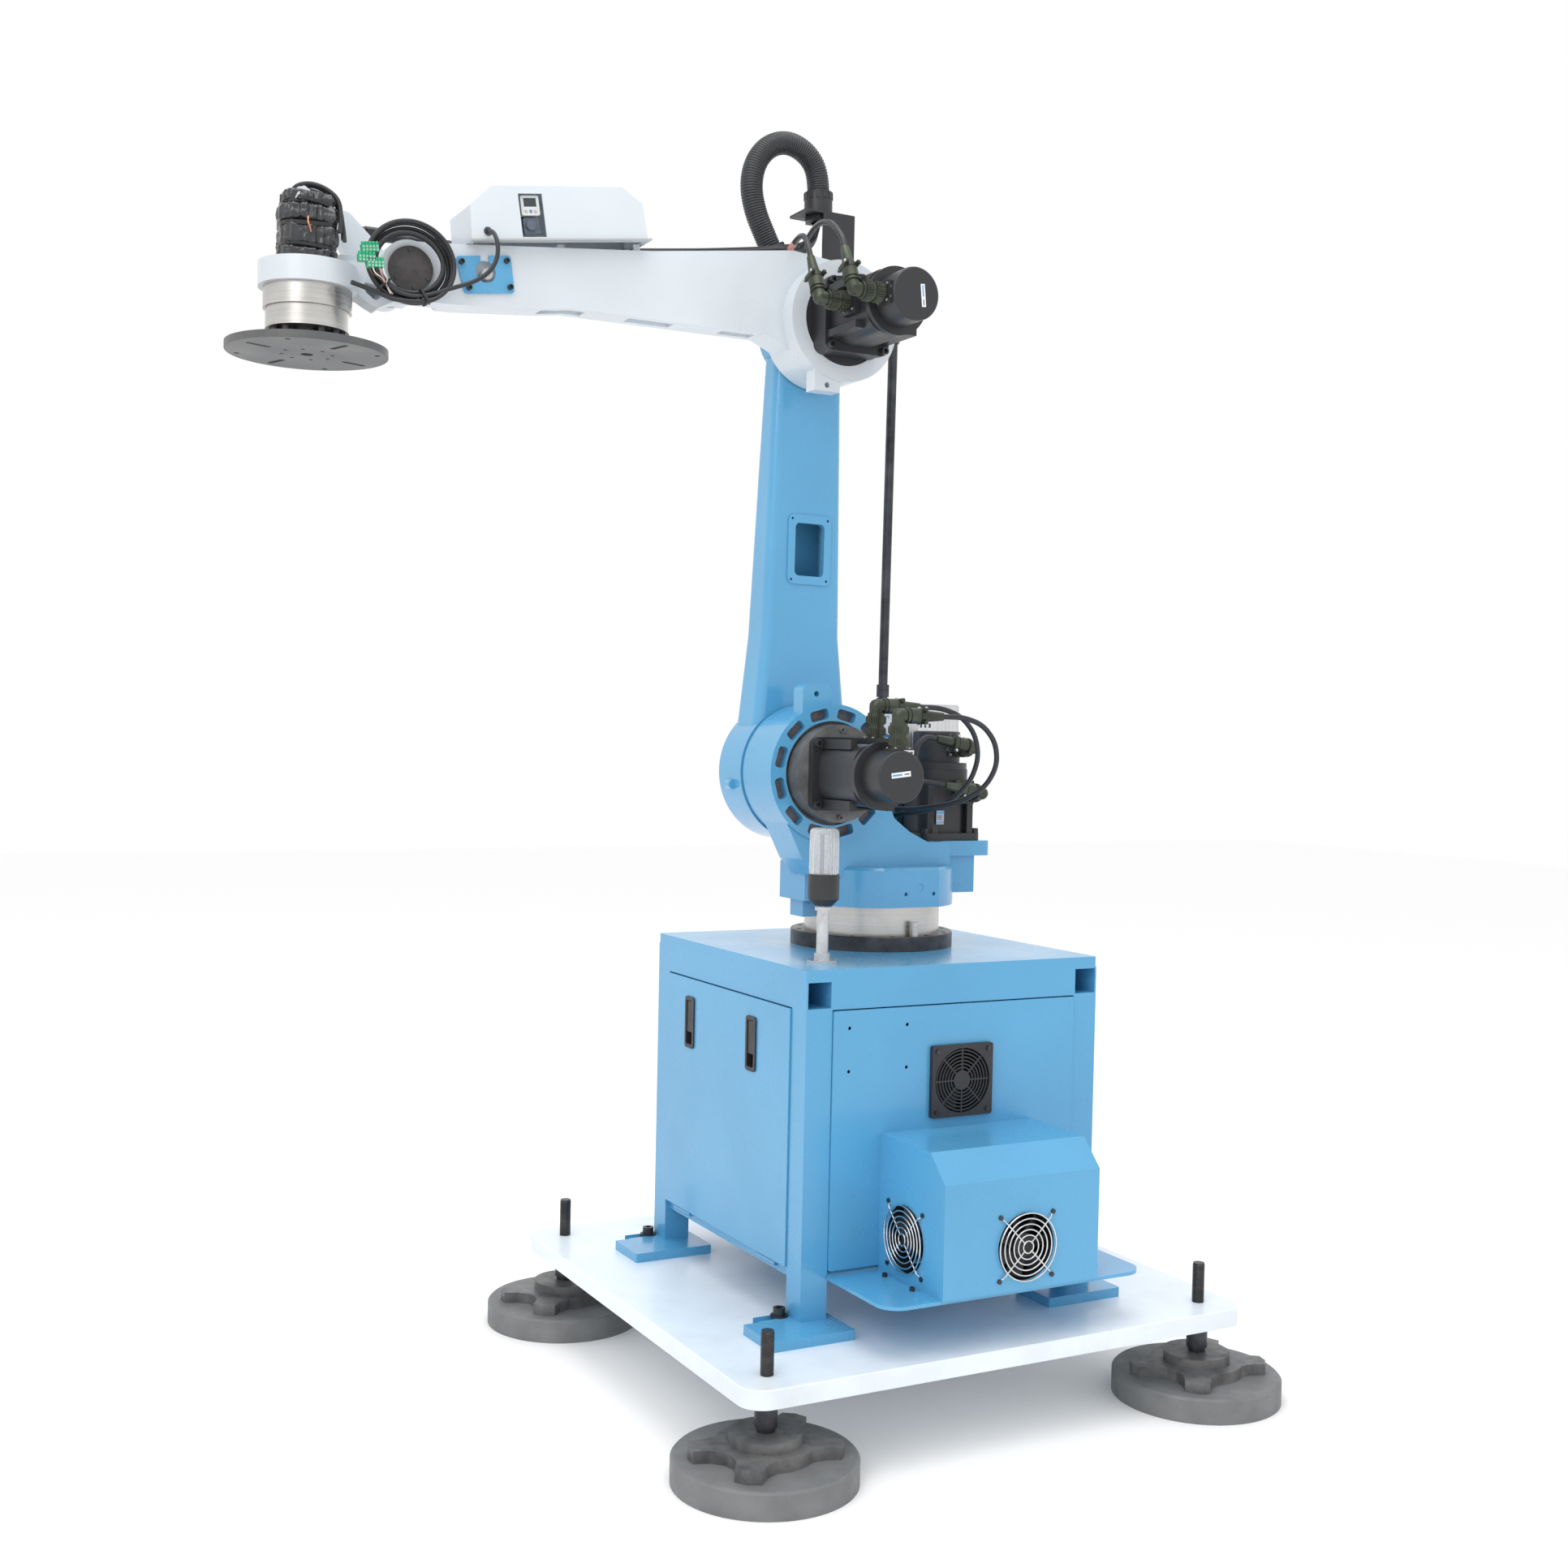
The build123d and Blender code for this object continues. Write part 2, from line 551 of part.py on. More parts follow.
def add_fans():
    """The panel fan, and the box with its two fans, shelf and transformer."""
    panel_plane = Plane(origin=(FAN_CENTRE[0], FACE_Y + 1, FAN_CENTRE[1]), x_dir=(-1, 0, 0), z_dir=(0, 1, 0))
    add("panel_fan_rotor", fan_rotor(panel_plane))
    front = Plane(origin=(FAN_CENTRE[0], FACE_Y + 3, FAN_CENTRE[1]), x_dir=(-1, 0, 0), z_dir=(0, 1, 0))

    deep = FACE_Y + FAN_BOX_DEPTH
    cut = FAN_BOX_CHAMFER
    low, high = FAN_BOX_Z

    def profile(inset):
        """Side outline of the duct, drawn in from its outer faces."""
        back = FACE_Y + 3
        return outline([
            (back, low), (deep - inset, low), (deep - inset, high - cut - inset * 0.41),
            (deep - cut - inset * 0.41, high - inset), (back, high - inset),
        ])

    box = along_x(profile(0), FAN_BOX_X)
    box -= along_x(profile(SHEET), (FAN_BOX_X[0] + SHEET, FAN_BOX_X[1] - SHEET))
    mid_x = (FAN_BOX_X[0] + FAN_BOX_X[1]) / 2
    front_out = Plane(origin=(mid_x - 7, deep, FAN_FRONT_Z), x_dir=(-1, 0, 0), z_dir=(0, 1, 0))
    side_out = Plane(origin=(FAN_BOX_X[1], FAN_SIDE_Y, FAN_FRONT_Z), x_dir=(0, 1, 0), z_dir=(1, 0, 0))
    for face in (front_out, side_out):
        box -= face * Cylinder(FAN / 2 - 4, 12)
    shelf = slab((CX - 268, CX + 252), (FACE_Y - 40, deep - 6), (low - 6, low), 38)
    shelf -= block((CX - 300, CX + 300), (FACE_Y - 60, FACE_Y + 3), (low - 9, low + 9))
    screws = []
    for x in (FAN_BOX_X[0] - 14, FAN_BOX_X[1] + 12):
        for y in (FACE_Y + 45, FACE_Y + 130):
            screws.append(socket_screw((x, y, low), (0, 0, 1), 6, 5))
    add("fan_box", box, shelf - Compound(children=screws))
    inner_front = Plane(origin=(mid_x - 7, deep - SHEET, FAN_FRONT_Z), x_dir=(-1, 0, 0), z_dir=(0, 1, 0))
    inner_side = Plane(origin=(FAN_BOX_X[1] - SHEET, FAN_SIDE_Y, FAN_FRONT_Z), x_dir=(0, 1, 0), z_dir=(1, 0, 0))
    add("fan_frames", fan_frame(panel_plane), fan_frame(inner_front), fan_frame(inner_side))
    add("front_fan_rotor", fan_rotor(inner_front))
    add("side_fan_rotor", fan_rotor(inner_side))
    add("fan_guards", plastic_guard(front), wire_guard(front_out), wire_guard(side_out))
    screws += [*guard_screws(front_out, 0), *guard_screws(side_out, 0), *guard_screws(front, 9)]

    core = block((-100, 40), (FACE_Y + 20, FACE_Y + 110), (low, low + 120))
    for x in (-62, 2):
        core -= block((x - 14, x + 14), (FACE_Y + 19, FACE_Y + 111), (low + 25, low + 95))
    coil = block((-58, -2), (FACE_Y + 8, FACE_Y + 122), (low + 26, low + 94))
    coil -= block((-48.3, -11.7), (FACE_Y + 19.5, FACE_Y + 110.5), (low + 25, low + 95))
    add("transformer", core, coil)
    return screws


def add_controls():
    """Drives and controller on their mounting plate inside the cabinet."""
    x = CX - 200
    plate = block((x, x + 3), (CY - 220, CY + 220), (300, 680))
    drives = []
    for index in range(4):
        y = CY - 190 + index * 68
        drive = block((x + 3, x + 158), (y, y + 55), (470, 640))
        drive -= block((x + 120, x + 159), (y + 8, y + 47), (484, 530))
        drives.append(drive)
    controller = block((x + 3, x + 70), (CY + 90, CY + 200), (470, 640))
    supply = block((x + 3, x + 88), (CY - 190, CY - 75), (330, 420))
    rail = block((x + 3, x + 10), (CY - 50, CY + 200), (370, 405))
    for index in range(16):
        y = CY - 44 + index * 15
        rail += block((x + 10, x + 50), (y, y + 11), (366, 409))
    add("cabinet_electronics", plate, *drives, controller, supply, rail)


def add_beacon():
    """Signal lamp on its pole."""
    x, y, z = 237.0, 231.0, CABINET_TOP
    flange = rod((x, y, z), (x, y, z + 5), 26)
    flange += rod((x, y, z + 5), (x, y, z + 17), 14)
    pole = flange + rod((x, y, z + 17), (x, y, z + 96), 10.5)
    for angle in (30, 150, 270):
        spot = (x + 20 * cos(radians(angle)), y + 20 * sin(radians(angle)))
        pole -= rod((*spot, z - 1), (*spot, z + 6), 2.2)
    cup = rod((x, y, z + 110), (x, y, z + 152), 27)
    cup += Plane(origin=(x, y, z + 103)) * Cone(14, 27, 14)
    cup += rod((x, y, z + 90), (x, y, z + 98), 14) - rod((x, y, z + 89), (x, y, z + 96), 10.5)
    lens = rod((x, y, z + 152), (x, y, z + 232), 25.7)
    lens = fillet(lens.edges().sort_by(Axis.Z)[-1], 5)
    add("beacon_lens", lens - rod((x, y, z + 151), (x, y, z + 228), 23.2))
    add("beacon_base", pole, cup, rod((x, y, z + 152), (x, y, z + 222), 12))


# ---- Joint 1 and turret ----
J1_PLACE = Plane(origin=(MOTOR_1_X, 0, MOTOR_DECK), x_dir=(0, 1, 0), z_dir=(0, 0, 1))
J1_SIDE = (0.18, 0.98, 0)
J1_SHIFT = 24.0
J2_PLACE = Plane(origin=(SHOULDER[0], MOTOR_FACE_Y, SHOULDER[1]), x_dir=(0, 0, 1), z_dir=(0, 1, 0))
J2_SIDE = (0.1, 0.99, 0)
J2_SHIFT = -16.0
J3_PLACE = Plane(origin=(ELBOW[0], MOTOR_FACE_Y, ELBOW[1]), x_dir=(1, 0, 0), z_dir=(0, 1, 0))
J3_SIDE = (-0.42, 0.90, 0)


JUNCTION_X = (-236.0, -113.0)
JUNCTION_Y = (-93.5, -72.0)
JUNCTION_Z = (990.0, 1226.0)


def add_turret():
    """Base ring, reducer, turret casting and the turret's motors."""
    ring = tube((0, 0, CABINET_TOP), (0, 0, RING_TOP), RING_RADIUS, 100)
    ring = chamfer(ring.edges().group_by(Axis.Z)[-1], 1.5)
    for index in range(12):
        angle = radians(15 + index * 30)
        at = (140 * cos(angle), 140 * sin(angle))
        ring -= rod((*at, RING_TOP - 12), (*at, RING_TOP + 1), 5)
    pin_at = (-8.0, 139.5)
    add("j1_base_ring", ring, rod((*pin_at, RING_TOP), (*pin_at, RING_TOP + 26), 7.5))
    case = tube((0, 0, RING_TOP), (0, 0, TURRET_LOW - 1), J1_CASE_RADIUS, 96.3)
    case += tube((0, 0, RING_TOP - 20), (0, 0, RING_TOP), 99.9, 96.3)
    add("j1_reducer_case", case)
    add("j1_output_flange", tube((0, 0, RING_TOP - 15), (0, 0, TURRET_LOW), 96, 30))

    drum = rod((0, 0, TURRET_LOW), (0, 0, TURRET_DECK), 152)
    drum -= block((-200, 200), (140, 200), (TURRET_LOW - 1, TURRET_DECK + 1))
    drum = chamfer(drum.edges().group_by(Axis.Z)[-1], 5)
    deck_step = block((-186, -100), (-66, 66), (868, MOTOR_DECK - 28))
    deck = slab((MOTOR_1_X - 80, -52), (-74, 74), (MOTOR_DECK - 28, MOTOR_DECK), 12)
    front = block((100, 172), (-48, 48), (TURRET_LOW + 8, TURRET_DECK + 4))
    stop = block((133, 162), (-24, 24), (826, TURRET_LOW + 20))
    neck = across(outline([
        (SHOULDER[0] + 96, 1020), (203, 936), (176, 905), (-112, 905), (-112, MOTOR_DECK),
        (-62, MOTOR_DECK), (-22, 985), (12, 1010), (30, 1052), (60, 1090), (SHOULDER[0], 1120),
    ], 10), (6, 94))
    housing = pivot(SHOULDER, HOUSING_Y, SHOULDER_RADIUS)
    rear_post = across(link((REAR_LOW[0], REAR_LOW[1], 28), (-70, 960, 40)), (-92, -74))
    rear_web = block((-112, -34), (-92, -66), (900, 985)) + block((-112, -34), (-92, -40), (900, 955))
    lug_x = (SHOULDER[0] + 2, SHOULDER[0] + 62)
    lug = block(lug_x, (64, 98), (1190, 1252))
    lug = fillet(lug.edges().filter_by(Axis.Y).group_by(Axis.Z)[-1], 14)
    casting = drum + deck_step + deck + front + stop + neck + housing + rear_post + rear_web + lug
    casting -= pivot(SHOULDER, (-9, 101), 94)
    casting -= pivot((SHOULDER[0] + 34, 1234), (60, 99), 5)
    casting -= rod((0, 0, TURRET_LOW - 1), (0, 0, TURRET_DECK + 90), 30)
    casting -= rod((MOTOR_1_X, 0, 930), (MOTOR_1_X, 0, MOTOR_DECK + 1), 20)
    casting -= pivot(REAR_LOW, (-93, -73), 10)
    for index in range(12):
        pocket = Rot(0, 0, index * 30 + 15) * Pos(107, 0) * RectangleRounded(19, 38, 6)
        casting -= across(Pos(*SHOULDER) * pocket, (82, 101))
    for x, z, radius in ((-18, 886, 7), (-48, 874, 3.5), (12, 874, 3.5)):
        casting -= rod((x, 132, z), (x, 141, z), radius)
    rod_pin = pivot(REAR_LOW, (PIN_END, -74), 10) + pivot(REAR_LOW, (PIN_CAP, PIN_END), 15)
    cover = pivot(REAR_LOW, (-74, -69), 27)
    for index in range(3):
        angle = radians(30 + index * 120)
        cover -= pivot((REAR_LOW[0] + 13 * cos(angle), REAR_LOW[1] + 13 * sin(angle)), (-72, -68), 5)
    shell = block(JUNCTION_X, JUNCTION_Y, JUNCTION_Z)
    shell = fillet(shell.edges().filter_by(Axis.Y), 6)
    lid_y = (JUNCTION_Y[1], JUNCTION_Y[1] + 2.5)
    lid = block((JUNCTION_X[0] + 3, JUNCTION_X[1] - 3), lid_y, (1052, JUNCTION_Z[1] - 3))
    stand = block((-200, -130), (JUNCTION_Y[1], -67), (MOTOR_DECK, 1050))
    add("turret_covers", cover, shell, lid, stand)
    plug = rod((-18, 133, 886), (-18, 139, 886), 6.9)
    add("turret_casting", casting, plug, rod_pin)

    reducer = pivot(SHOULDER, (12, 90), 93.9) - pivot(SHOULDER, (11, 91), 58)
    adaptor = pivot(SHOULDER, (90, MOTOR_FACE_Y), 87.5) - pivot(SHOULDER, (89, MOTOR_FACE_Y + 1), 48)
    screws = []
    for angle in (90, 40, -60, -90, 120, 150, 180, 210):
        at = (SHOULDER[0] + 78 * cos(radians(angle)), MOTOR_FACE_Y, SHOULDER[1] + 78 * sin(radians(angle)))
        if abs(at[0] - SHOULDER[0]) > 69 or abs(at[2] - SHOULDER[1]) > 69:
            screws.append(socket_screw(at, (0, 1, 0), 6, 5))
    add("j2_reducer", reducer, adaptor - Compound(children=screws), *screws)
    add_motor("j2", J2_PLACE, J2_SIDE, J2_SHIFT)
    pinion = rod((MOTOR_1_X, 0, 935), (MOTOR_1_X, 0, MOTOR_DECK), 14)
    add_motor("j1", J1_PLACE, J1_SIDE, J1_SHIFT, pinion)


# ---- Lower arm ----
def add_lower_arm():
    """Hollow lower arm, leaning about the shoulder, with its two output flanges."""
    x0, z0 = SHOULDER
    far_low, far_high = -100.0, -72.0

    def section(z, half, shift, far):
        """Outer outline of the casting at one height."""
        depth = ARM_NEAR_Y - far
        face = RectangleRounded(2 * half, depth, 17)
        return Plane(origin=(x0 + shift, (ARM_NEAR_Y + far) / 2, z)) * face

    body = loft([section(z0 + 70, 98, 2, far_low), section(z0 + 250, 80, 5, -93),
                 section(z0 + 760, 69, 6, far_high)], ruled=True)
    hub = pivot((x0, z0), (far_low, ARM_NEAR_Y), 128)
    eye = pivot((x0, z0 + LOWER_ARM), (far_high, ARM_NEAR_Y), 86)
    stop = block((x0 + 10, x0 + 66), (-46, ARM_NEAR_Y), (z0 + 118, z0 + 158))
    boss = pivot((x0 + 128, z0 - 26), (-60, -40), 9)
    arm = body + hub + eye + stop + boss

    def hollow(z, half, shift, far):
        """Inner outline of the casting at one height."""
        depth = ARM_NEAR_Y - far - 20
        face = RectangleRounded(2 * half - 20, depth, 10)
        return Plane(origin=(x0 + shift, (ARM_NEAR_Y + far) / 2, z)) * face

    arm -= loft([hollow(z0 + 180, 86, 4, -95), hollow(z0 + 690, 69, 6, -75)], ruled=True)
    frame = Pos(x0 - 1, z0 + 410) * (RectangleRounded(90, 128, 12) - RectangleRounded(61, 97, 9))
    arm += across(frame, (ARM_NEAR_Y - 6, ARM_NEAR_Y + 3))
    arm -= across(Pos(x0 - 1, z0 + 410) * RectangleRounded(61, 97, 9), (ARM_NEAR_Y - 20, ARM_NEAR_Y + 4))
    for sx in (-1, 1):
        for sz in (-1, 1):
            at = (x0 - 1 + sx * 37, z0 + 410 + sz * 56)
            arm -= pivot(at, (ARM_NEAR_Y - 5, ARM_NEAR_Y + 4), 2.5)
    lean = Pos(x0, 0, z0) * Rot(0, LEAN, 0) * Pos(-x0, 0, -z0)
    arm = lean * arm
    arm -= pivot(ELBOW, (-73, ARM_NEAR_Y - 30), 20)
    add("lower_arm_casting", arm)
    add("j2_output_flange", pivot(SHOULDER, (ARM_NEAR_Y, 8), 92) + pivot(SHOULDER, (8, 60), 57))
    output = pivot(ELBOW, (ARM_NEAR_Y, 8), 76) + pivot(ELBOW, (8, 60), 44)
    pin = pivot(ELBOW, (-98, ARM_NEAR_Y - 30), 20) + pivot(ELBOW, (-103, -98), 31)
    add("j3_output_flange", output, pin)


# ---- Level linkage ----
def add_linkage():
    """Bell crank at the elbow, and the two parallel rods that keep the wrist level."""
    eyes = [(*ELBOW, 46), (*REAR_HIGH, 25), (*UPPER_BACK, 23)]
    crank = across(link(*eyes), (-94, -76))
    hole_at = (ELBOW[0] - 70, ELBOW[1] + 72)
    crank -= across(Pos(*hole_at) * SlotOverall(120, 30), (-95, -75))
    crank -= pivot(ELBOW, (-95, -75), 20.4)
    for at in (REAR_HIGH, UPPER_BACK):
        crank -= pivot(at, (-95, -75), 10)
    pins = [pivot(at, (PIN_END, -76), 10) + pivot(at, (PIN_CAP, PIN_END), 15) for at in (REAR_HIGH, UPPER_BACK)]
    add("bell_crank", crank, *pins)
    for name, low, high in (("rear_rod", REAR_LOW, REAR_HIGH), ("upper_rod", UPPER_BACK, UPPER_FRONT)):
        start, end = Vector(low[0], ROD_Y, low[1]), Vector(high[0], ROD_Y, high[1])
        way = (end - start).normalized()
        bar = rod(start + way * 46, end - way * 46, 9)
        ends, nuts = [], []
        for at, out in ((start, way), (end, way * -1)):
            eye = pivot((at.X, at.Z), (ROD_Y - 9, ROD_Y + 9), 21)
            eye += rod(at + out * 12, at + out * 46, 12)
            ends.append(eye - pivot((at.X, at.Z), (ROD_Y - 13, ROD_Y + 13), 10.3))
            nut = hexagon(at + out * 48, at + out * 62, ROD_NUT) - rod(at + out * 40, at + out * 70, 9)
            thin = hexagon(at + out * 62.5, at + out * 72, ROD_NUT) - rod(at + out * 40, at + out * 80, 9)
            nuts += [nut, thin]
        add(name, bar, *ends, *nuts)


# ---- Forearm ----
BOX_SLOPE = 8.6
BOX_ORIGIN = (521.0, 1995.0)
BOX_Y = (-24.0, 80.0)
WINDOW_U = (183.0, 225.0)


def add_forearm():
    """Forearm casting with its elbow housing, reducer and motor."""
    def near(points):
        """Points given from the elbow's axis."""
        return [(ELBOW[0] + x, ELBOW[1] + z) for x, z in points]

    drop = WRIST[1] - ELBOW[1]
    tip = WRIST[0] - ELBOW[0]
    beam = across(outline(near([
        (-70, 84), (-20, 112), (88, 121), (359, 80), (657, 46), (730, 38),
        (730, -58), (700, -57), (556, -44), (507, -37), (140, -34), (60, -70), (-60, -70),
    ]), 6), FOREARM_Y)
    cheek = across(outline(near([
        (640, 47), (tip - 30, 36), (tip, drop + 46), (tip, drop - 47), (tip - 60, -58), (640, -52),
    ])), (22, FOREARM_Y[1]))
    eye = pivot(WRIST, (22, 66), 47)
    housing = pivot(ELBOW, HOUSING_Y, ELBOW_RADIUS)
    rim = pivot(ELBOW, (FOREARM_Y[1] + 8, HOUSING_Y[1]), ELBOW_RADIUS)
    rim = chamfer(rim.edges().group_by(Axis.Y)[-1], 6)
    lug = block((ELBOW[0] + 6, ELBOW[0] + 58), (66, 96), (ELBOW[1] - 128, ELBOW[1] - 90))
    casting = beam + cheek + eye + housing + rim + lug
    casting -= pivot((ELBOW[0] + 32, ELBOW[1] - 117), (60, 97), 5)
    casting -= across(outline(near([
        (170, 98), (340, 70), (625, 38), (625, -42), (520, -28), (170, -24),
    ]), 5), (FOREARM_Y[0] + 9, FOREARM_Y[1] - 9))
    casting -= pivot(ELBOW, (-9, 101), 80)
    casting -= pivot(WRIST, (21, 64), 27)
    for low, high in ((296, 360), (454, 538), (619, 699)):
        casting -= block((low, high), (18, 46), (1840, 1872))
    casting -= across(Pos(802, 1903) * Circle(19), (FOREARM_Y[1] - 12, FOREARM_Y[1] + 1))
    for x in (560.0, 700.0):
        casting -= block((x, x + 90), (14, 50), (1930, 2000))
    add("forearm_casting", casting)
    reducer = pivot(ELBOW, (12, 90), 79.9) - pivot(ELBOW, (11, 91), 46)
    plate = Pos(*ELBOW) * Rot(0, 0, -TILT) * RectangleRounded(MOTOR_FLANGE, MOTOR_FLANGE, 18)
    adaptor = across(plate, (HOUSING_Y[1], MOTOR_FACE_Y)) + pivot(ELBOW, (90, HOUSING_Y[1]), 79)
    add("j3_reducer", reducer, adaptor - pivot(ELBOW, (89, MOTOR_FACE_Y + 1), 42))
    add_motor("j3", J3_PLACE, J3_SIDE, 0.0)

    bearing = pivot(WRIST, (24, 62), 26.9) - pivot(WRIST, (23, 63), 18.3)
    cover = pivot(WRIST, (66, 72), 36)
    screws = []
    for angle in (85, 205, 325, 260):
        at = (WRIST[0] + 30 * cos(radians(angle)), WRIST[1] + 30 * sin(radians(angle)))
        screws.append(pivot(at, (72, 74.5), 3.2))
    add("wrist_bearing", bearing, cover, *screws)

    plate_points = [(853, 1922), (760, 1936), (752, 1876), (836, 1864)]
    cable_plate = across(outline(plate_points, 5), (FOREARM_Y[1], FOREARM_Y[1] + 4))
    slot = Pos(802, 1903) * Circle(17) + Pos(804, 1926) * Rectangle(15, 40)
    bolts = []
    for x, z in ((843.5, 1914), (767, 1926), (760, 1884), (830, 1874)):
        bolts.append(socket_screw((x, FOREARM_Y[1] + 4, z), (0, 1, 0), 6, 3))
    cable_plate -= across(slot, (FOREARM_Y[1] - 1, FOREARM_Y[1] + 5))
    socket = pivot((800, 1900), (FOREARM_Y[1] - 12, FOREARM_Y[1] + 7), 9)
    add("cable_plate", cable_plate - Compound(children=bolts), *bolts, socket)


def box_plane(y):
    """Plane of the cover box's side outline, with x along its sloping base."""
    slope = radians(BOX_SLOPE)
    return Plane(origin=(BOX_ORIGIN[0], y, BOX_ORIGIN[1]), x_dir=(cos(slope), 0, -sin(slope)), z_dir=(0, -1, 0))


def box_part(sketch, y):
    """Extrude an outline in the cover box's sloping frame over a stretch of Y."""
    return extrude(box_plane(y[1]) * sketch, amount=y[1] - y[0])


def add_cover_box():
    """Valve box on the forearm: folded cover, gauge with buttons, and regulator."""
    shape = [(0, 0), (3, 59), (37, 86), (270, 86), (309, 56), (313, 0)]
    wall = 2.5
    inside = [(wall, -1), (5.5, 58), (38, 86 - wall), (269, 86 - wall), (306, 55), (310.5, -1)]
    cover = box_part(outline(shape), BOX_Y) - box_part(outline(inside), (BOX_Y[0] + wall, BOX_Y[1] - wall))
    lip = box_part(Pos(156.5, -1.5) * Rectangle(322, 3), (BOX_Y[0] - 7, BOX_Y[1] + 7))
    lip -= box_part(Pos(156.5, -1.5) * Rectangle(300, 5), (BOX_Y[0] + 9, BOX_Y[1] - 9))
    cover += lip
    mid = sum(WINDOW_U) / 2
    cover -= box_part(Pos(mid, 39) * Rectangle(WINDOW_U[1] - WINDOW_U[0], 70), (BOX_Y[1] - 6, BOX_Y[1] + 1))
    cover -= box_part(Pos(284, 13) * Circle(7.5), (BOX_Y[1] - 6, BOX_Y[1] + 1))
    feet = []
    for u, w in ((12, 15), (150, 9), (296, 3)):
        for y in (10, 48):
            feet.append(box_part(Pos(u, -3 - w / 2) * Rectangle(12, w), (y, y + 8)))
    add("cover_box", cover, *[foot - parts["forearm_casting"][0] for foot in feet])
    screen_y = BOX_Y[1] - 5
    gauge = box_part(Pos(mid, 56) * RectangleRounded(32, 32, 3), (screen_y - 26, screen_y))
    gauge -= box_part(Pos(mid, 61) * Rectangle(22, 14), (screen_y - 1.5, screen_y + 1))
    for index in range(3):
        gauge -= box_part(Pos(mid - 8 + 8 * index, 46.5) * Circle(2.6), (screen_y - 4, screen_y + 1))
    screen = box_part(Pos(mid, 61) * Rectangle(22, 14), (screen_y - 1.5, screen_y - 0.5))
    for index, side in enumerate(("left", "middle", "right")):
        button = box_part(Pos(mid - 8 + 8 * index, 46.5) * Circle(2.3), (screen_y - 2.2, screen_y + 1))
        add(f"gauge_button_{side}", button)
    valve = box_part(Pos(mid, 24) * RectangleRounded(28, 26, 3), (screen_y - 34, screen_y - 4))
    valve += box_part(Pos(mid + 2, 24) * Circle(8), (screen_y - 4, screen_y + 1))
    add("air_gauge", gauge, screen, valve)


# ---- Cables that the object holds ----
CONDUIT_Y = -22.0
CONDUIT_RADIUS = 20.5
CONDUIT_ROUTE = [
    (136, 2160), (137, 2196), (160, 2229), (200, 2244), (240, 2231), (268, 2197),
    (277, 2152), (266, 2106), (246, 2068), (234, 2046),
]


def add_conduit():
    """Corrugated hose over the elbow, with its glands and angle brackets."""
    route = [(x, CONDUIT_Y, z) for x, z in CONDUIT_ROUTE]
    add("conduit", cord("conduit", route, CONDUIT_RADIUS))
    start, end = Vector(*route[0]), Vector(*route[-1])
    down_a = (start - Vector(*route[1])).normalized()
    down_b = (end - Vector(*route[-2])).normalized()
    gland_a = rod(start, start + down_a * 40, 26) - rod(start, start + down_a * 44, 14)
    gland_a += tube(start + down_a * 40, start + down_a * 54, 17, 14)
    gland_b = tube(end, end + down_b * 22, 26, 14) + tube(end + down_b * 22, end + down_b * 32, 17, 14)
    shelf_z = (start + down_a * 40).Z
    nut = hexagon(start + down_a * 44.5, start + down_a * 53, 48)
    nut -= rod(start + down_a * 40, start + down_a * 60, 17.2)
    top = slab((96, 178), (-56, 11), (shelf_z - 4, shelf_z), 4)
    top += block((76, 110), (-56, 11), (shelf_z - 4, shelf_z)) + block((76, 142), (7, 11), (1990, shelf_z))
    top += block((76, 142), (-8, 11), (2024, 2028))
    z = end.Z - 26
    lower = block((186, 262), (-50, 6), (z - 4, z)) + block((186, 262), (2, 6), (z - 30, z))
    lower -= rod(end, end + down_b * 60, 17.6)
    trims = [gland_a, gland_b, nut, parts["forearm_casting"][0]]
    brackets = []
    for bracket in (top, lower):
        for trim in trims:
            bracket -= trim
        brackets.append(bracket)
    add("conduit_glands", gland_a, gland_b, nut, *brackets)


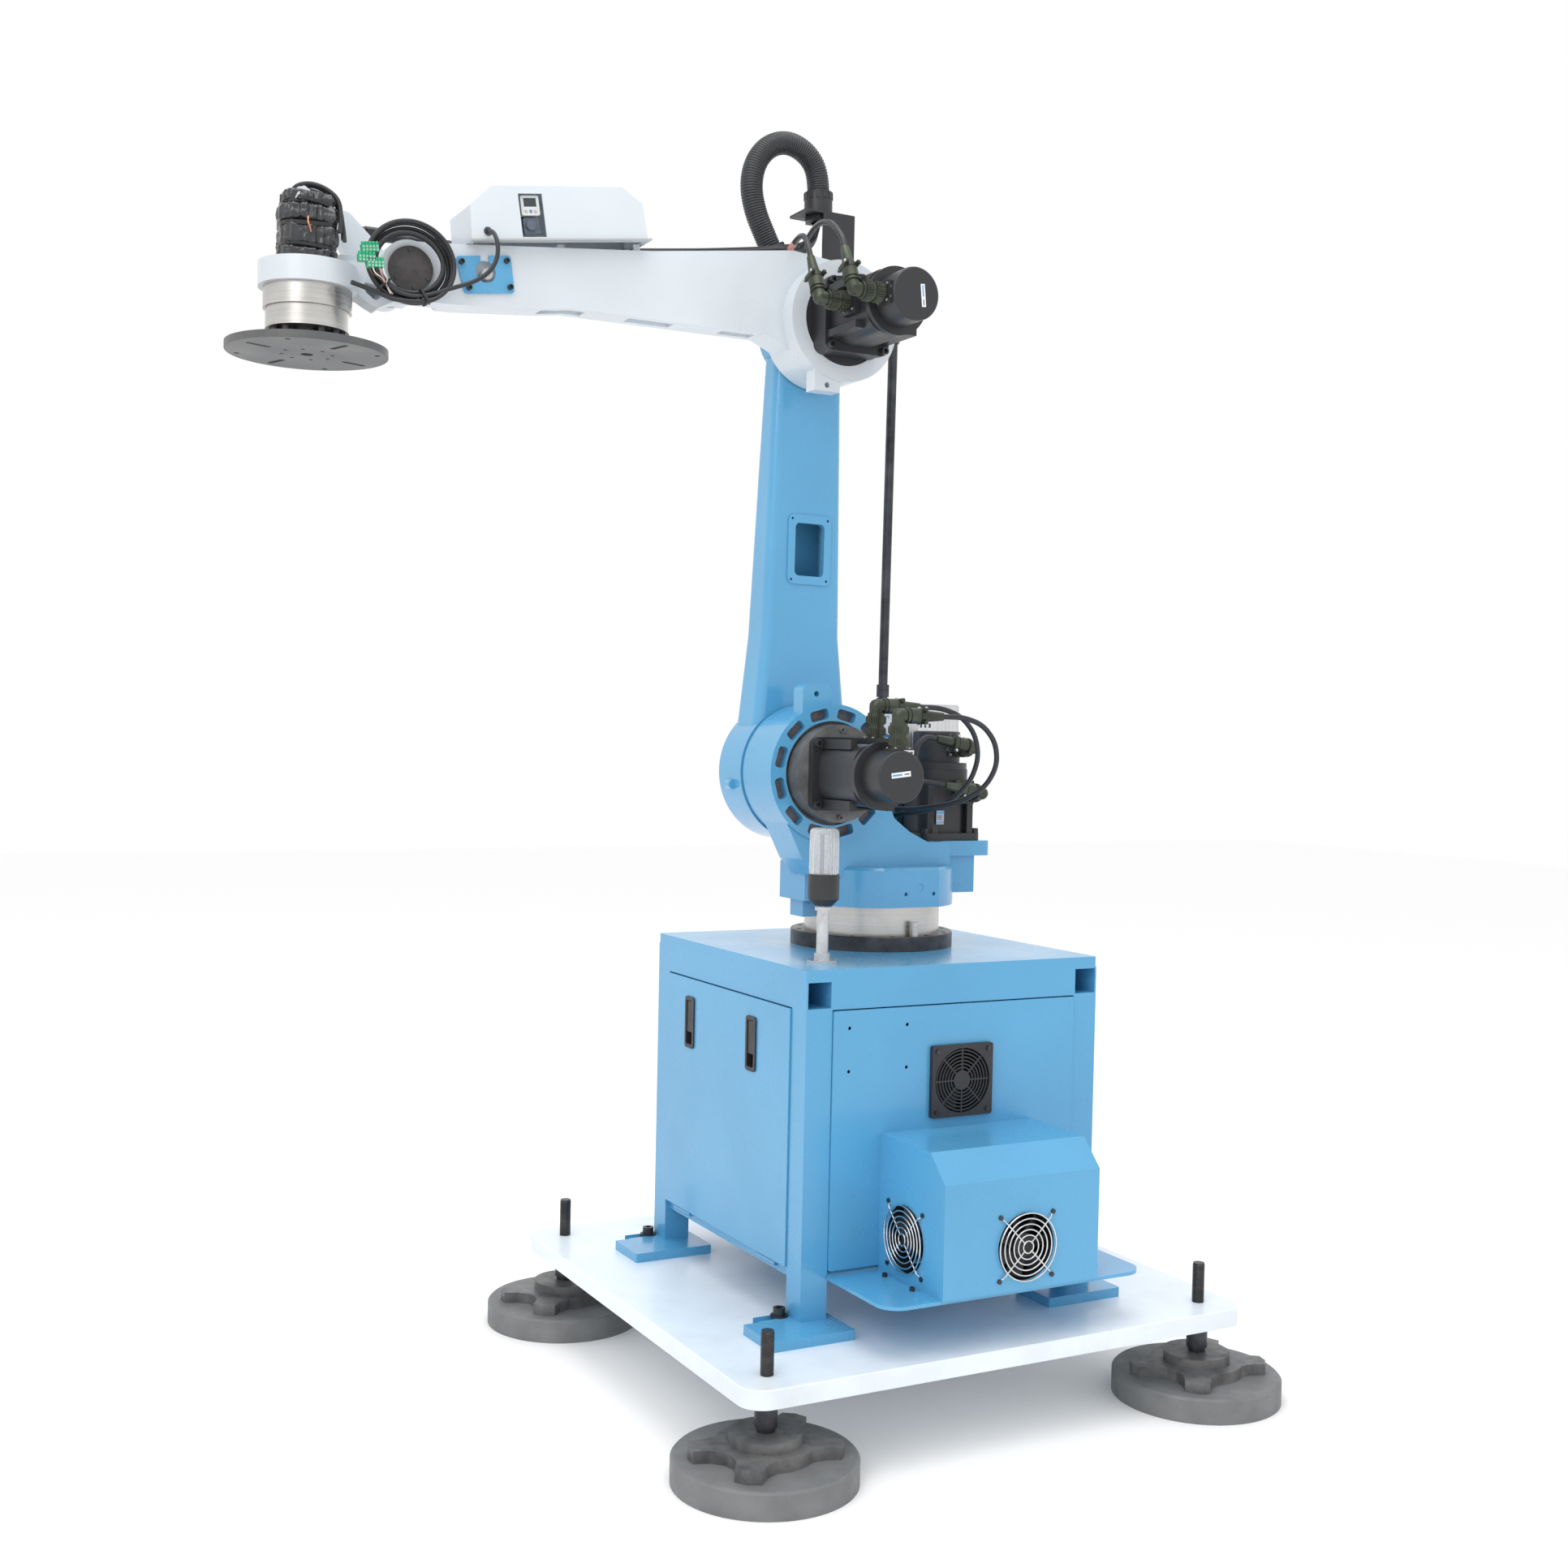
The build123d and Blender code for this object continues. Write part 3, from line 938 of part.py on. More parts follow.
def add_leads():
    """Motor leads, and the bundle along the forearm."""
    bundle = []
    for index, (y, z) in enumerate(((-26, 0), (-20, 3), (-15, 0))):
        shift = 8 * index
        route = [
            (132 + 3 * index, y, 2108), (140 + 3 * index, y + 3, 2072), (170 + shift, y + 16, 2042),
            (218 + shift, 16 + shift, 2032 + z / 3), (300, 19 + shift, 2018.5), (388, 17 + shift, 2003),
            (462, 19 + shift, 1992.5), (520, 18 + shift, 1984),
        ]
        bundle.append(cord(f"bundle {index}", route, 3.6))
    power, signal = lead_starts(J3_PLACE, J3_SIDE, 0.0)
    routes = [
        [power[0], power[0] + power[1] * 20, (261, 165, 2013), (255, 143, 2026), (247, 117, 2033),
         (238, 90, 2036), (230, 64, 2036), (225, 42, 2033)],
        [signal[0], signal[0] + signal[1] * 22, (248, 247, 2014), (244, 223, 2030), (238, 194, 2041),
         (233, 163, 2047), (224, 131, 2050), (215, 99, 2049), (207, 69, 2045), (201, 42, 2038)],
    ]
    for index, route in enumerate(routes):
        bundle.append(cord(f"forearm lead {index}", route, 5.0))
    add("forearm_cables", *bundle)

    turret = []
    power, signal = lead_starts(J2_PLACE, J2_SIDE, J2_SHIFT)
    low_power, low_signal = lead_starts(J1_PLACE, J1_SIDE, J1_SHIFT)
    routes = [
        [power[0], power[0] + power[1] * 40, (-34, 236, 1200), (-68, 232, 1168), (-84, 222, 1126),
         (-80, 205, 1084), (-64, 178, 1052), (-49, 144, 1034), (-38, 106, 1022), (-26, 66, 1018),
         (-15, 31, 1010), (-9, 12, 980), (-9, 9, 925), (-9, 10, 870)],
        [signal[0], signal[0] + signal[1] * 40, (-24, 319, 1184), (-56, 313, 1154), (-70, 300, 1114),
         (-64, 276, 1076), (-46, 242, 1052), (-30, 202, 1040), (-21, 158, 1034), (-14, 112, 1028),
         (-5, 70, 1027), (4, 30, 1021), (8, 10, 990), (9, 9, 925), (9, 10, 870)],
        [low_power[0], low_power[0] + low_power[1] * 24, (-31, 119, 1079), (-13, 107, 1076), (-4, 85, 1068),
         (0, 59, 1054), (4, 33, 1034), (8, 9, 1006), (10, -7, 968), (9, -9, 925), (10, -9, 870)],
        [low_signal[0], low_signal[0] + low_signal[1] * 22, (-32, 104, 1152), (-24, 102, 1130), (-24, 98, 1102),
         (-27, 88, 1076), (-25, 70, 1054), (-19, 44, 1035), (-13, 16, 1010), (-10, -5, 970), (-9, -9, 925),
         (-10, -9, 870)],
    ]
    for index, route in enumerate(routes):
        turret.append(cord(f"turret lead {index}", route, 4.6))
    add("turret_cables", *turret)


# ---- Wrist ----
TOOL_HOLES = 8
TOOL_HOLE_CIRCLE = 40.0
TOOL_BORE = 20.0


def add_wrist():
    """Level wrist: casting, motor, reducer, output ring and tool disc."""
    x, z = WRIST
    top = WRIST_Z[1]
    housing = rod((TOOL_X, 0, WRIST_Z[0]), (TOOL_X, 0, top), 77)
    lug = across(outline([
        (x - 10, z + 38), (TOOL_X - 52, z + 10), (TOOL_X - 45, z - 4), (TOOL_X - 40, WRIST_Z[0] + 3), (x + 74, 1852),
        (x + 55, 1840), (x + 38, 1832), (x + 18, 1844), (x - 10, z - 38),
    ]), (-22, 18))
    lug += pivot(WRIST, (-22, 18), 42)
    window = outline([(x + 36, 1868), (x + 62, 1872), (x + 58, 1856), (x + 42, 1844), (x + 32, 1851)], 4)
    lug -= across(window, (-23, 19))
    tower = across(link((x, z, 36), (UPPER_FRONT[0], UPPER_FRONT[1], 20)), (-92, -60))
    web = across(outline([(x - 30, z - 34), (x + 96, z - 34), (x + 96, z + 30), (x - 30, z + 34)], 8), (-62, -20))
    collar = pivot(WRIST, (-22, 20), 26)
    wrist = housing + lug + tower + web + collar
    wrist -= rod((TOOL_X, 0, WRIST_Z[0] - 1), (TOOL_X, 0, top + 1), 30)
    wrist -= pivot(UPPER_FRONT, (-93, -59), 10)
    rod_pin = pivot(UPPER_FRONT, (PIN_END, -60), 10) + pivot(UPPER_FRONT, (PIN_CAP, PIN_END), 15)
    hinge_pin = pivot(WRIST, (20, 62), 18)
    add("wrist_casting", wrist, rod_pin, hinge_pin)

    motor = rod((TOOL_X + 4, 0, top), (TOOL_X + 4, 0, top + 118), 46)
    motor = fillet(motor.edges().sort_by(Axis.Z)[-1], 12)
    add("wrist_motor", motor)

    add("j4_reducer_case", tube((TOOL_X, 0, 1816.3), (TOOL_X, 0, WRIST_Z[0]), 69, 12))
    ring = rod((TOOL_X, 0, 1784), (TOOL_X, 0, 1816), 65) + rod((TOOL_X, 0, TOOL_Z[1]), (TOOL_X, 0, 1784), 38)
    ring -= rod((TOOL_X, 0, TOOL_Z[1] - 1), (TOOL_X, 0, 1800), 12)
    bolts = []
    for index in range(12):
        angle = radians(index * 30 + 10)
        at = (TOOL_X + 53 * cos(angle), 53 * sin(angle))
        if index not in (2, 8):
            bolts.append(rod((*at, TOOL_Z[1]), (*at, 1784), 6.5))
    add("j4_output_ring", ring, *bolts)

    disc = rod((TOOL_X, 0, TOOL_Z[0]), (TOOL_X, 0, TOOL_Z[1]), TOOL_RADIUS)
    disc = chamfer(disc.edges().group_by(Axis.Z)[0], 1)
    disc -= rod((TOOL_X, 0, TOOL_Z[0] - 1), (TOOL_X, 0, TOOL_Z[1] + 1), TOOL_BORE / 2)
    for index in range(TOOL_HOLES):
        angle = radians(index * 360 / TOOL_HOLES + 22.5)
        at = (TOOL_X + TOOL_HOLE_CIRCLE * cos(angle), TOOL_HOLE_CIRCLE * sin(angle))
        disc -= rod((*at, TOOL_Z[0] - 1), (*at, TOOL_Z[1] + 1), 3.3)
    for index in range(4):
        slot = extrude(Pos(88, 0) * SlotOverall(44, 9), amount=20)
        disc -= Pos(TOOL_X, 0, TOOL_Z[0] - 1) * Rot(0, 0, 20 + index * 90) * slot
        spot = Rot(0, 0, 62 + index * 90) * Pos(112, 0) * Cylinder(4.5, 40)
        disc -= Pos(TOOL_X, 0, TOOL_Z[0]) * spot
    add("tool_disc", disc)


# ---- The cable coil that hangs at the forearm's end ----
COIL_CENTRE = (935.0, 1892.0)
COIL_SIZE = (73.0, 65.0)
COIL_THICK = 24.0
COIL_Y = (78.0, 106.0)
COIL_LEAD = [
    (803.7, 78, 1965.4), (803.5, 96, 1963.5), (801, 110, 1952), (798, 116, 1932), (801, 115, 1908),
    (814, 110, 1888), (837, 104, 1873), (864, 99, 1863), (890, 96, 1856),
]
COIL_TAIL = [(960, 96, 1830.5), (976, 97, 1835), (1003, 99, 1842), (1031, 101, 1848)]
CABLE_RADIUS = 3.6


def add_coil():
    """Tied spare cable: its coil, the lead into it, its bare tail and the terminal blocks."""
    x, z = COIL_CENTRE
    shape = Ellipse(*COIL_SIZE) - Ellipse(COIL_SIZE[0] - COIL_THICK, COIL_SIZE[1] - COIL_THICK)
    coil = across(Pos(x, z) * shape, COIL_Y)
    lead = cord("coil lead", COIL_LEAD, CABLE_RADIUS) - coil
    tail = cord("coil tail", COIL_TAIL, CABLE_RADIUS) - coil
    lead = lead.solids().sort_by(SortBy.VOLUME)[-1]
    tail = tail.solids().sort_by(SortBy.VOLUME)[-1]
    add("cable_coil", coil)
    add("coil_lead", lead, tail)
    blocks = []
    for bx, bz, lean in ((1006, 1901, 8), (1011, 1885, 4), (997, 1878, 6)):
        strip = Box(27, 12, 12) + Pos(0, 3, 7) * Box(27, 6, 5)
        blocks.append(Pos(bx, COIL_Y[1] + 7, bz) * Rot(0, lean, 0) * strip)
    add("terminal_blocks", *blocks)


add_feet()
add_plate()
base_bolts = add_frame()
add_panels()
base_bolts += add_fans()
add("base_fasteners", *base_bolts)
add_controls()
add_beacon()
add_turret()
add_lower_arm()
add_linkage()
add_forearm()
add_cover_box()
add_conduit()
add_leads()
add_wrist()
add_coil()

os.makedirs("parts", exist_ok=True)
for old in os.listdir("parts"):
    if old.endswith(".step") and old[:-5] not in parts:
        os.remove(os.path.join("parts", old))
for name, solids in parts.items():
    shape = solids[0] if len(solids) == 1 else Compound(children=solids)
    export_step(shape, f"parts/{name}.step")
print(len(parts), "nodes")
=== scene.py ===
"""Looks of a palletising robot arm on its cabinet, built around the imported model."""

import json
import math
import random

import bmesh
import bpy
from mathutils import Matrix, Vector, noise


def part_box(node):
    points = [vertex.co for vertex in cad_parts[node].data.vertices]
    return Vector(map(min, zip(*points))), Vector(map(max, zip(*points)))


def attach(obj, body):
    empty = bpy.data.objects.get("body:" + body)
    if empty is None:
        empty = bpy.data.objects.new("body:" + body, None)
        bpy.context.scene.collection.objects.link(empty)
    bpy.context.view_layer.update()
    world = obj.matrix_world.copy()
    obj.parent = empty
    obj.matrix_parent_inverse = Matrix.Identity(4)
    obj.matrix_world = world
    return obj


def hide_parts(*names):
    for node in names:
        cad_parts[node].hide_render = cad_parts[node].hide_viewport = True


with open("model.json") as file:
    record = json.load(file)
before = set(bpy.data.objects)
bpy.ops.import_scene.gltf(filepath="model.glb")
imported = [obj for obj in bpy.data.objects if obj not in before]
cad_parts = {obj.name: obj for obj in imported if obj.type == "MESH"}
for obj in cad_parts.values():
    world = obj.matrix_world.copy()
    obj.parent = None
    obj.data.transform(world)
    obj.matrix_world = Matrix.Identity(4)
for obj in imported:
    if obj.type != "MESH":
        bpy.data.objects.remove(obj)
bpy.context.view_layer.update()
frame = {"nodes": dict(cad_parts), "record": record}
MM = 0.001
NODES = frame["nodes"]
SLOT_OF = {part["node"]: part["material_slot"] for part in frame["record"]["subparts"]}


# ---- Camera, lights and floor ----
CAMERA_PLACE = (1.7531, 2.8890, 1.15465)
CAMERA_YAW, CAMERA_PITCH, CAMERA_ROLL = 151.64, -1.49, 1.21
LENS, SENSOR = 41.04, 36.0
FLOOR_REACH = 14.0


def add_camera():
    """Camera at the reference viewing angle."""
    yaw, pitch, roll = (math.radians(angle) for angle in (CAMERA_YAW, CAMERA_PITCH, CAMERA_ROLL))
    ahead = Vector((-math.sin(yaw) * math.cos(pitch), math.cos(yaw) * math.cos(pitch), math.sin(pitch)))
    right = ahead.cross(Vector((0, 0, 1))).normalized()
    up = right.cross(ahead)
    turned_right = right * math.cos(roll) + up * math.sin(roll)
    turned_up = up * math.cos(roll) - right * math.sin(roll)
    camera = bpy.data.objects.new("camera", bpy.data.cameras.new("camera"))
    axes = Matrix((turned_right, turned_up, -ahead)).transposed()
    camera.matrix_world = Matrix.Translation(CAMERA_PLACE) @ axes.to_4x4()
    camera.data.lens = LENS
    camera.data.sensor_width = SENSOR
    camera.data.clip_end = 60
    bpy.context.scene.collection.objects.link(camera)
    bpy.context.scene.camera = camera


def add_light(name, place, target, size, power):
    """Soft rectangular light that faces a point."""
    data = bpy.data.lights.new(name, "AREA")
    data.shape = "RECTANGLE"
    data.size, data.size_y = size
    data.energy = power
    light = bpy.data.objects.new(name, data)
    way = Vector(target) - Vector(place)
    light.matrix_world = Matrix.Translation(place) @ way.to_track_quat("-Z", "Y").to_matrix().to_4x4()
    bpy.context.scene.collection.objects.link(light)


def add_floor():
    """Pale matt floor."""
    mesh = bpy.data.meshes.new("floor")
    corners = ((-1, -1), (1, -1), (1, 1), (-1, 1))
    mesh.from_pydata([(x * FLOOR_REACH, y * FLOOR_REACH, 0) for x, y in corners], [], [(0, 1, 2, 3)])
    floor = bpy.data.objects.new("floor", mesh)
    bpy.context.scene.collection.objects.link(floor)
    finish = bpy.data.materials.new("studio_floor")
    finish.use_nodes = True
    shader = finish.node_tree.nodes["Principled BSDF"]
    shader.inputs["Base Color"].default_value = (0.975, 0.975, 0.975, 1)
    shader.inputs["Roughness"].default_value = 0.75
    mesh.materials.append(finish)


def add_studio():
    """Floor, white surroundings and soft lights."""
    add_floor()
    world = bpy.data.worlds.new("studio")
    world.use_nodes = True
    sky = world.node_tree.nodes["Background"]
    sky.inputs["Color"].default_value = (1.0, 1.0, 1.0, 1)
    sky.inputs["Strength"].default_value = 1.0
    bpy.context.scene.world = world
    add_light("top", (0.6, 0.8, 4.7), (0.15, 0.1, 0.8), (2.8, 2.8), 62)
    add_light("key", (3.6, 2.6, 3.8), (0.2, 0, 1.1), (2.2, 2.2), 42)
    add_light("back", (-1.5, -4.0, 3.4), (0.3, 0, 1.3), (3.0, 2.0), 16)
    view = bpy.context.scene.view_settings
    view.view_transform = "Standard"
    view.look = "None"
    view.exposure = 0.0


# ---- Materials ----
class Nodes:
    """Short way to wire one material's nodes."""

    def __init__(self, name):
        """New material whose noise is laid out in the object's own metres."""
        self.material = bpy.data.materials.new(name)
        self.material.use_nodes = True
        self.tree = self.material.node_tree
        self.shader = self.tree.nodes["Principled BSDF"]
        self.place = self.tree.nodes.new("ShaderNodeTexCoord").outputs["Object"]

    def node(self, kind, **values):
        """New node; each value goes to the input socket of its name."""
        made = self.tree.nodes.new(kind)
        for key, value in values.items():
            made.inputs[key.replace("_", " ")].default_value = value
        return made

    def link(self, source, target):
        """Wire an output to an input."""
        self.tree.links.new(source, target)

    def noise(self, scale, detail=3.0, roughness=0.5, stretch=None):
        """Noise in the object's own metres, stretched along its axes if asked."""
        made = self.node("ShaderNodeTexNoise", Scale=scale, Detail=detail, Roughness=roughness)
        place = self.place
        if stretch:
            mapping = self.node("ShaderNodeMapping")
            mapping.inputs["Scale"].default_value = stretch
            self.link(place, mapping.inputs["Vector"])
            place = mapping.outputs["Vector"]
        self.link(place, made.inputs["Vector"])
        return made.outputs["Fac"]

    def ramp(self, source, stops):
        """Colours at positions along a value."""
        made = self.tree.nodes.new("ShaderNodeValToRGB")
        points = made.color_ramp.elements
        while len(points) < len(stops):
            points.new(0.5)
        for point, (position, colour) in zip(points, stops):
            point.position = position
            point.color = (*colour, 1) if len(colour) == 3 else colour
        self.link(source, made.inputs["Fac"])
        return made.outputs["Color"]

    def range(self, source, low, high, start=0.0, end=1.0):
        """Value mapped to a range."""
        made = self.tree.nodes.new("ShaderNodeMapRange")
        made.inputs["From Min"].default_value = start
        made.inputs["From Max"].default_value = end
        made.inputs["To Min"].default_value = low
        made.inputs["To Max"].default_value = high
        self.link(source, made.inputs["Value"])
        return made.outputs["Result"]

    def mix(self, factor, first, second):
        """Blend of two colours, each a colour or an output."""
        made = self.tree.nodes.new("ShaderNodeMix")
        made.data_type = "RGBA"
        for socket, value in ((made.inputs[6], first), (made.inputs[7], second)):
            if isinstance(value, tuple):
                socket.default_value = (*value, 1)
            else:
                self.link(value, socket)
        self.link(factor, made.inputs[0])
        return made.outputs[2]

    def bump(self, source, depth, chain=None):
        """Bump of a depth in metres, laid over an earlier bump if asked."""
        made = self.tree.nodes.new("ShaderNodeBump")
        made.inputs["Strength"].default_value = 1.0
        made.inputs["Distance"].default_value = depth
        self.link(source, made.inputs["Height"])
        if chain is not None:
            self.link(chain, made.inputs["Normal"])
        return made.outputs["Normal"]

    def set(self, **values):
        """Uniform values on the shader's own sockets."""
        for key, value in values.items():
            self.shader.inputs[key.replace("_", " ")].default_value = value

    def finish(self, colour, roughness, normal=None):
        """Wire the shader and give the material."""
        self.link(colour, self.shader.inputs["Base Color"])
        self.link(roughness, self.shader.inputs["Roughness"])
        if normal is not None:
            self.link(normal, self.shader.inputs["Normal"])
        return self.material


def shade(colour, factor):
    """Colour made darker or lighter."""
    return tuple(min(1.0, part * factor) for part in colour)


def paint(name, colour, peel=0.00002, cast=0.0, rough=(0.22, 0.34), coat=0.35, grime=0.0):
    """Sprayed paint: faint orange peel, soft colour variation, and casting texture if asked."""
    n = Nodes(name)
    broad = n.noise(3.2, 4)
    tint = n.ramp(broad, [(0.3, shade(colour, 0.93)), (0.7, shade(colour, 1.05))])
    fine = n.noise(420, 2)
    speck = n.ramp(n.noise(95, 5, 0.7), [(0.70, (0, 0, 0)), (0.80, (1, 1, 1))])
    tint = n.mix(n.range(speck, 0.0, 0.16), tint, shade(colour, 0.55))
    if grime:
        dirt = n.ramp(n.noise(7, 6, 0.65), [(0.48, (0, 0, 0)), (0.72, (1, 1, 1))])
        tint = n.mix(n.range(dirt, 0.0, grime), tint, (0.23, 0.20, 0.16))
    normal = n.bump(fine, peel)
    if cast:
        normal = n.bump(n.noise(38, 4, 0.55), cast, normal)
    roughness = n.range(n.noise(11, 4), rough[0], rough[1], 0.3, 0.7)
    n.set(Coat_Weight=coat, Coat_Roughness=0.12)
    return n.finish(tint, roughness, normal)


def turned_metal(name, colour, rough=(0.24, 0.42), lines=(3, 3, 900), stain=0.25):
    """Machined metal with fine tool marks, stains and scratches."""
    n = Nodes(name)
    marks = n.noise(1.0, 3, 0.6, lines)
    blotch = n.ramp(n.noise(16, 6, 0.6), [(0.42, (0, 0, 0)), (0.72, (1, 1, 1))])
    tint = n.ramp(marks, [(0.3, shade(colour, 0.82)), (0.7, shade(colour, 1.12))])
    tint = n.mix(n.range(blotch, 0.0, stain), tint, shade(colour, 0.45))
    roughness = n.range(marks, rough[0], rough[1], 0.3, 0.7)
    normal = n.bump(marks, 0.00003)
    n.set(Metallic=1.0)
    return n.finish(tint, roughness, normal)


def dark_metal(name, colour, rough=(0.35, 0.55), metallic=0.85, pits=0.0001, dust=0.0):
    """Blackened or cast metal with pits and rubbed patches."""
    n = Nodes(name)
    broad = n.noise(24, 6, 0.62)
    tint = n.ramp(broad, [(0.32, shade(colour, 0.7)), (0.68, shade(colour, 1.5))])
    if dust:
        dirt = n.ramp(n.noise(9, 6, 0.7), [(0.45, (0, 0, 0)), (0.75, (1, 1, 1))])
        tint = n.mix(n.range(dirt, 0.0, dust), tint, (0.42, 0.40, 0.37))
    roughness = n.range(n.noise(60, 4), rough[0], rough[1], 0.3, 0.7)
    normal = n.bump(n.noise(260, 4, 0.6), pits)
    n.set(Metallic=metallic)
    return n.finish(tint, roughness, normal)


def plastic(name, colour, rough=(0.38, 0.5), grain=0.00004, speck=0.1):
    """Moulded plastic or rubber with a fine grain."""
    n = Nodes(name)
    tint = n.ramp(n.noise(18, 4), [(0.3, shade(colour, 0.85)), (0.7, shade(colour, 1.15))])
    dust = n.ramp(n.noise(130, 6, 0.75), [(0.60, (0, 0, 0)), (0.80, (1, 1, 1))])
    tint = n.mix(n.range(dust, 0.0, speck), tint, (0.45, 0.44, 0.42))
    roughness = n.range(n.noise(40, 3), rough[0], rough[1], 0.3, 0.7)
    normal = n.bump(n.noise(900, 2), grain)
    return n.finish(tint, roughness, normal)


def clear_lens(name):
    """Clear ribbed plastic of the signal lamp."""
    n = Nodes(name)
    tint = n.ramp(n.noise(30, 3), [(0.3, (0.90, 0.93, 0.97)), (0.7, (0.97, 0.98, 1.0))])
    roughness = n.range(n.noise(120, 3), 0.06, 0.16, 0.3, 0.7)
    n.set(Transmission_Weight=0.75, IOR=1.46)
    return n.finish(tint, roughness)


def film(name, colour, rough, clear=0.0):
    """Crumpled plastic film: fine creases over a glossy skin."""
    n = Nodes(name)
    creases = n.tree.nodes.new("ShaderNodeTexVoronoi")
    creases.feature = "DISTANCE_TO_EDGE"
    creases.inputs["Scale"].default_value = 95
    n.link(n.place, creases.inputs["Vector"])
    normal = n.bump(creases.outputs["Distance"], 0.0004)
    normal = n.bump(n.noise(26, 4, 0.5), 0.0012, normal)
    tint = n.ramp(n.noise(24, 5, 0.6), [(0.35, shade(colour, 0.8)), (0.7, shade(colour, 1.3))])
    roughness = n.range(n.noise(30, 4), rough[0], rough[1], 0.3, 0.7)
    n.set(Coat_Weight=0.4, Coat_Roughness=0.15, Transmission_Weight=clear)
    return n.finish(tint, roughness, normal)


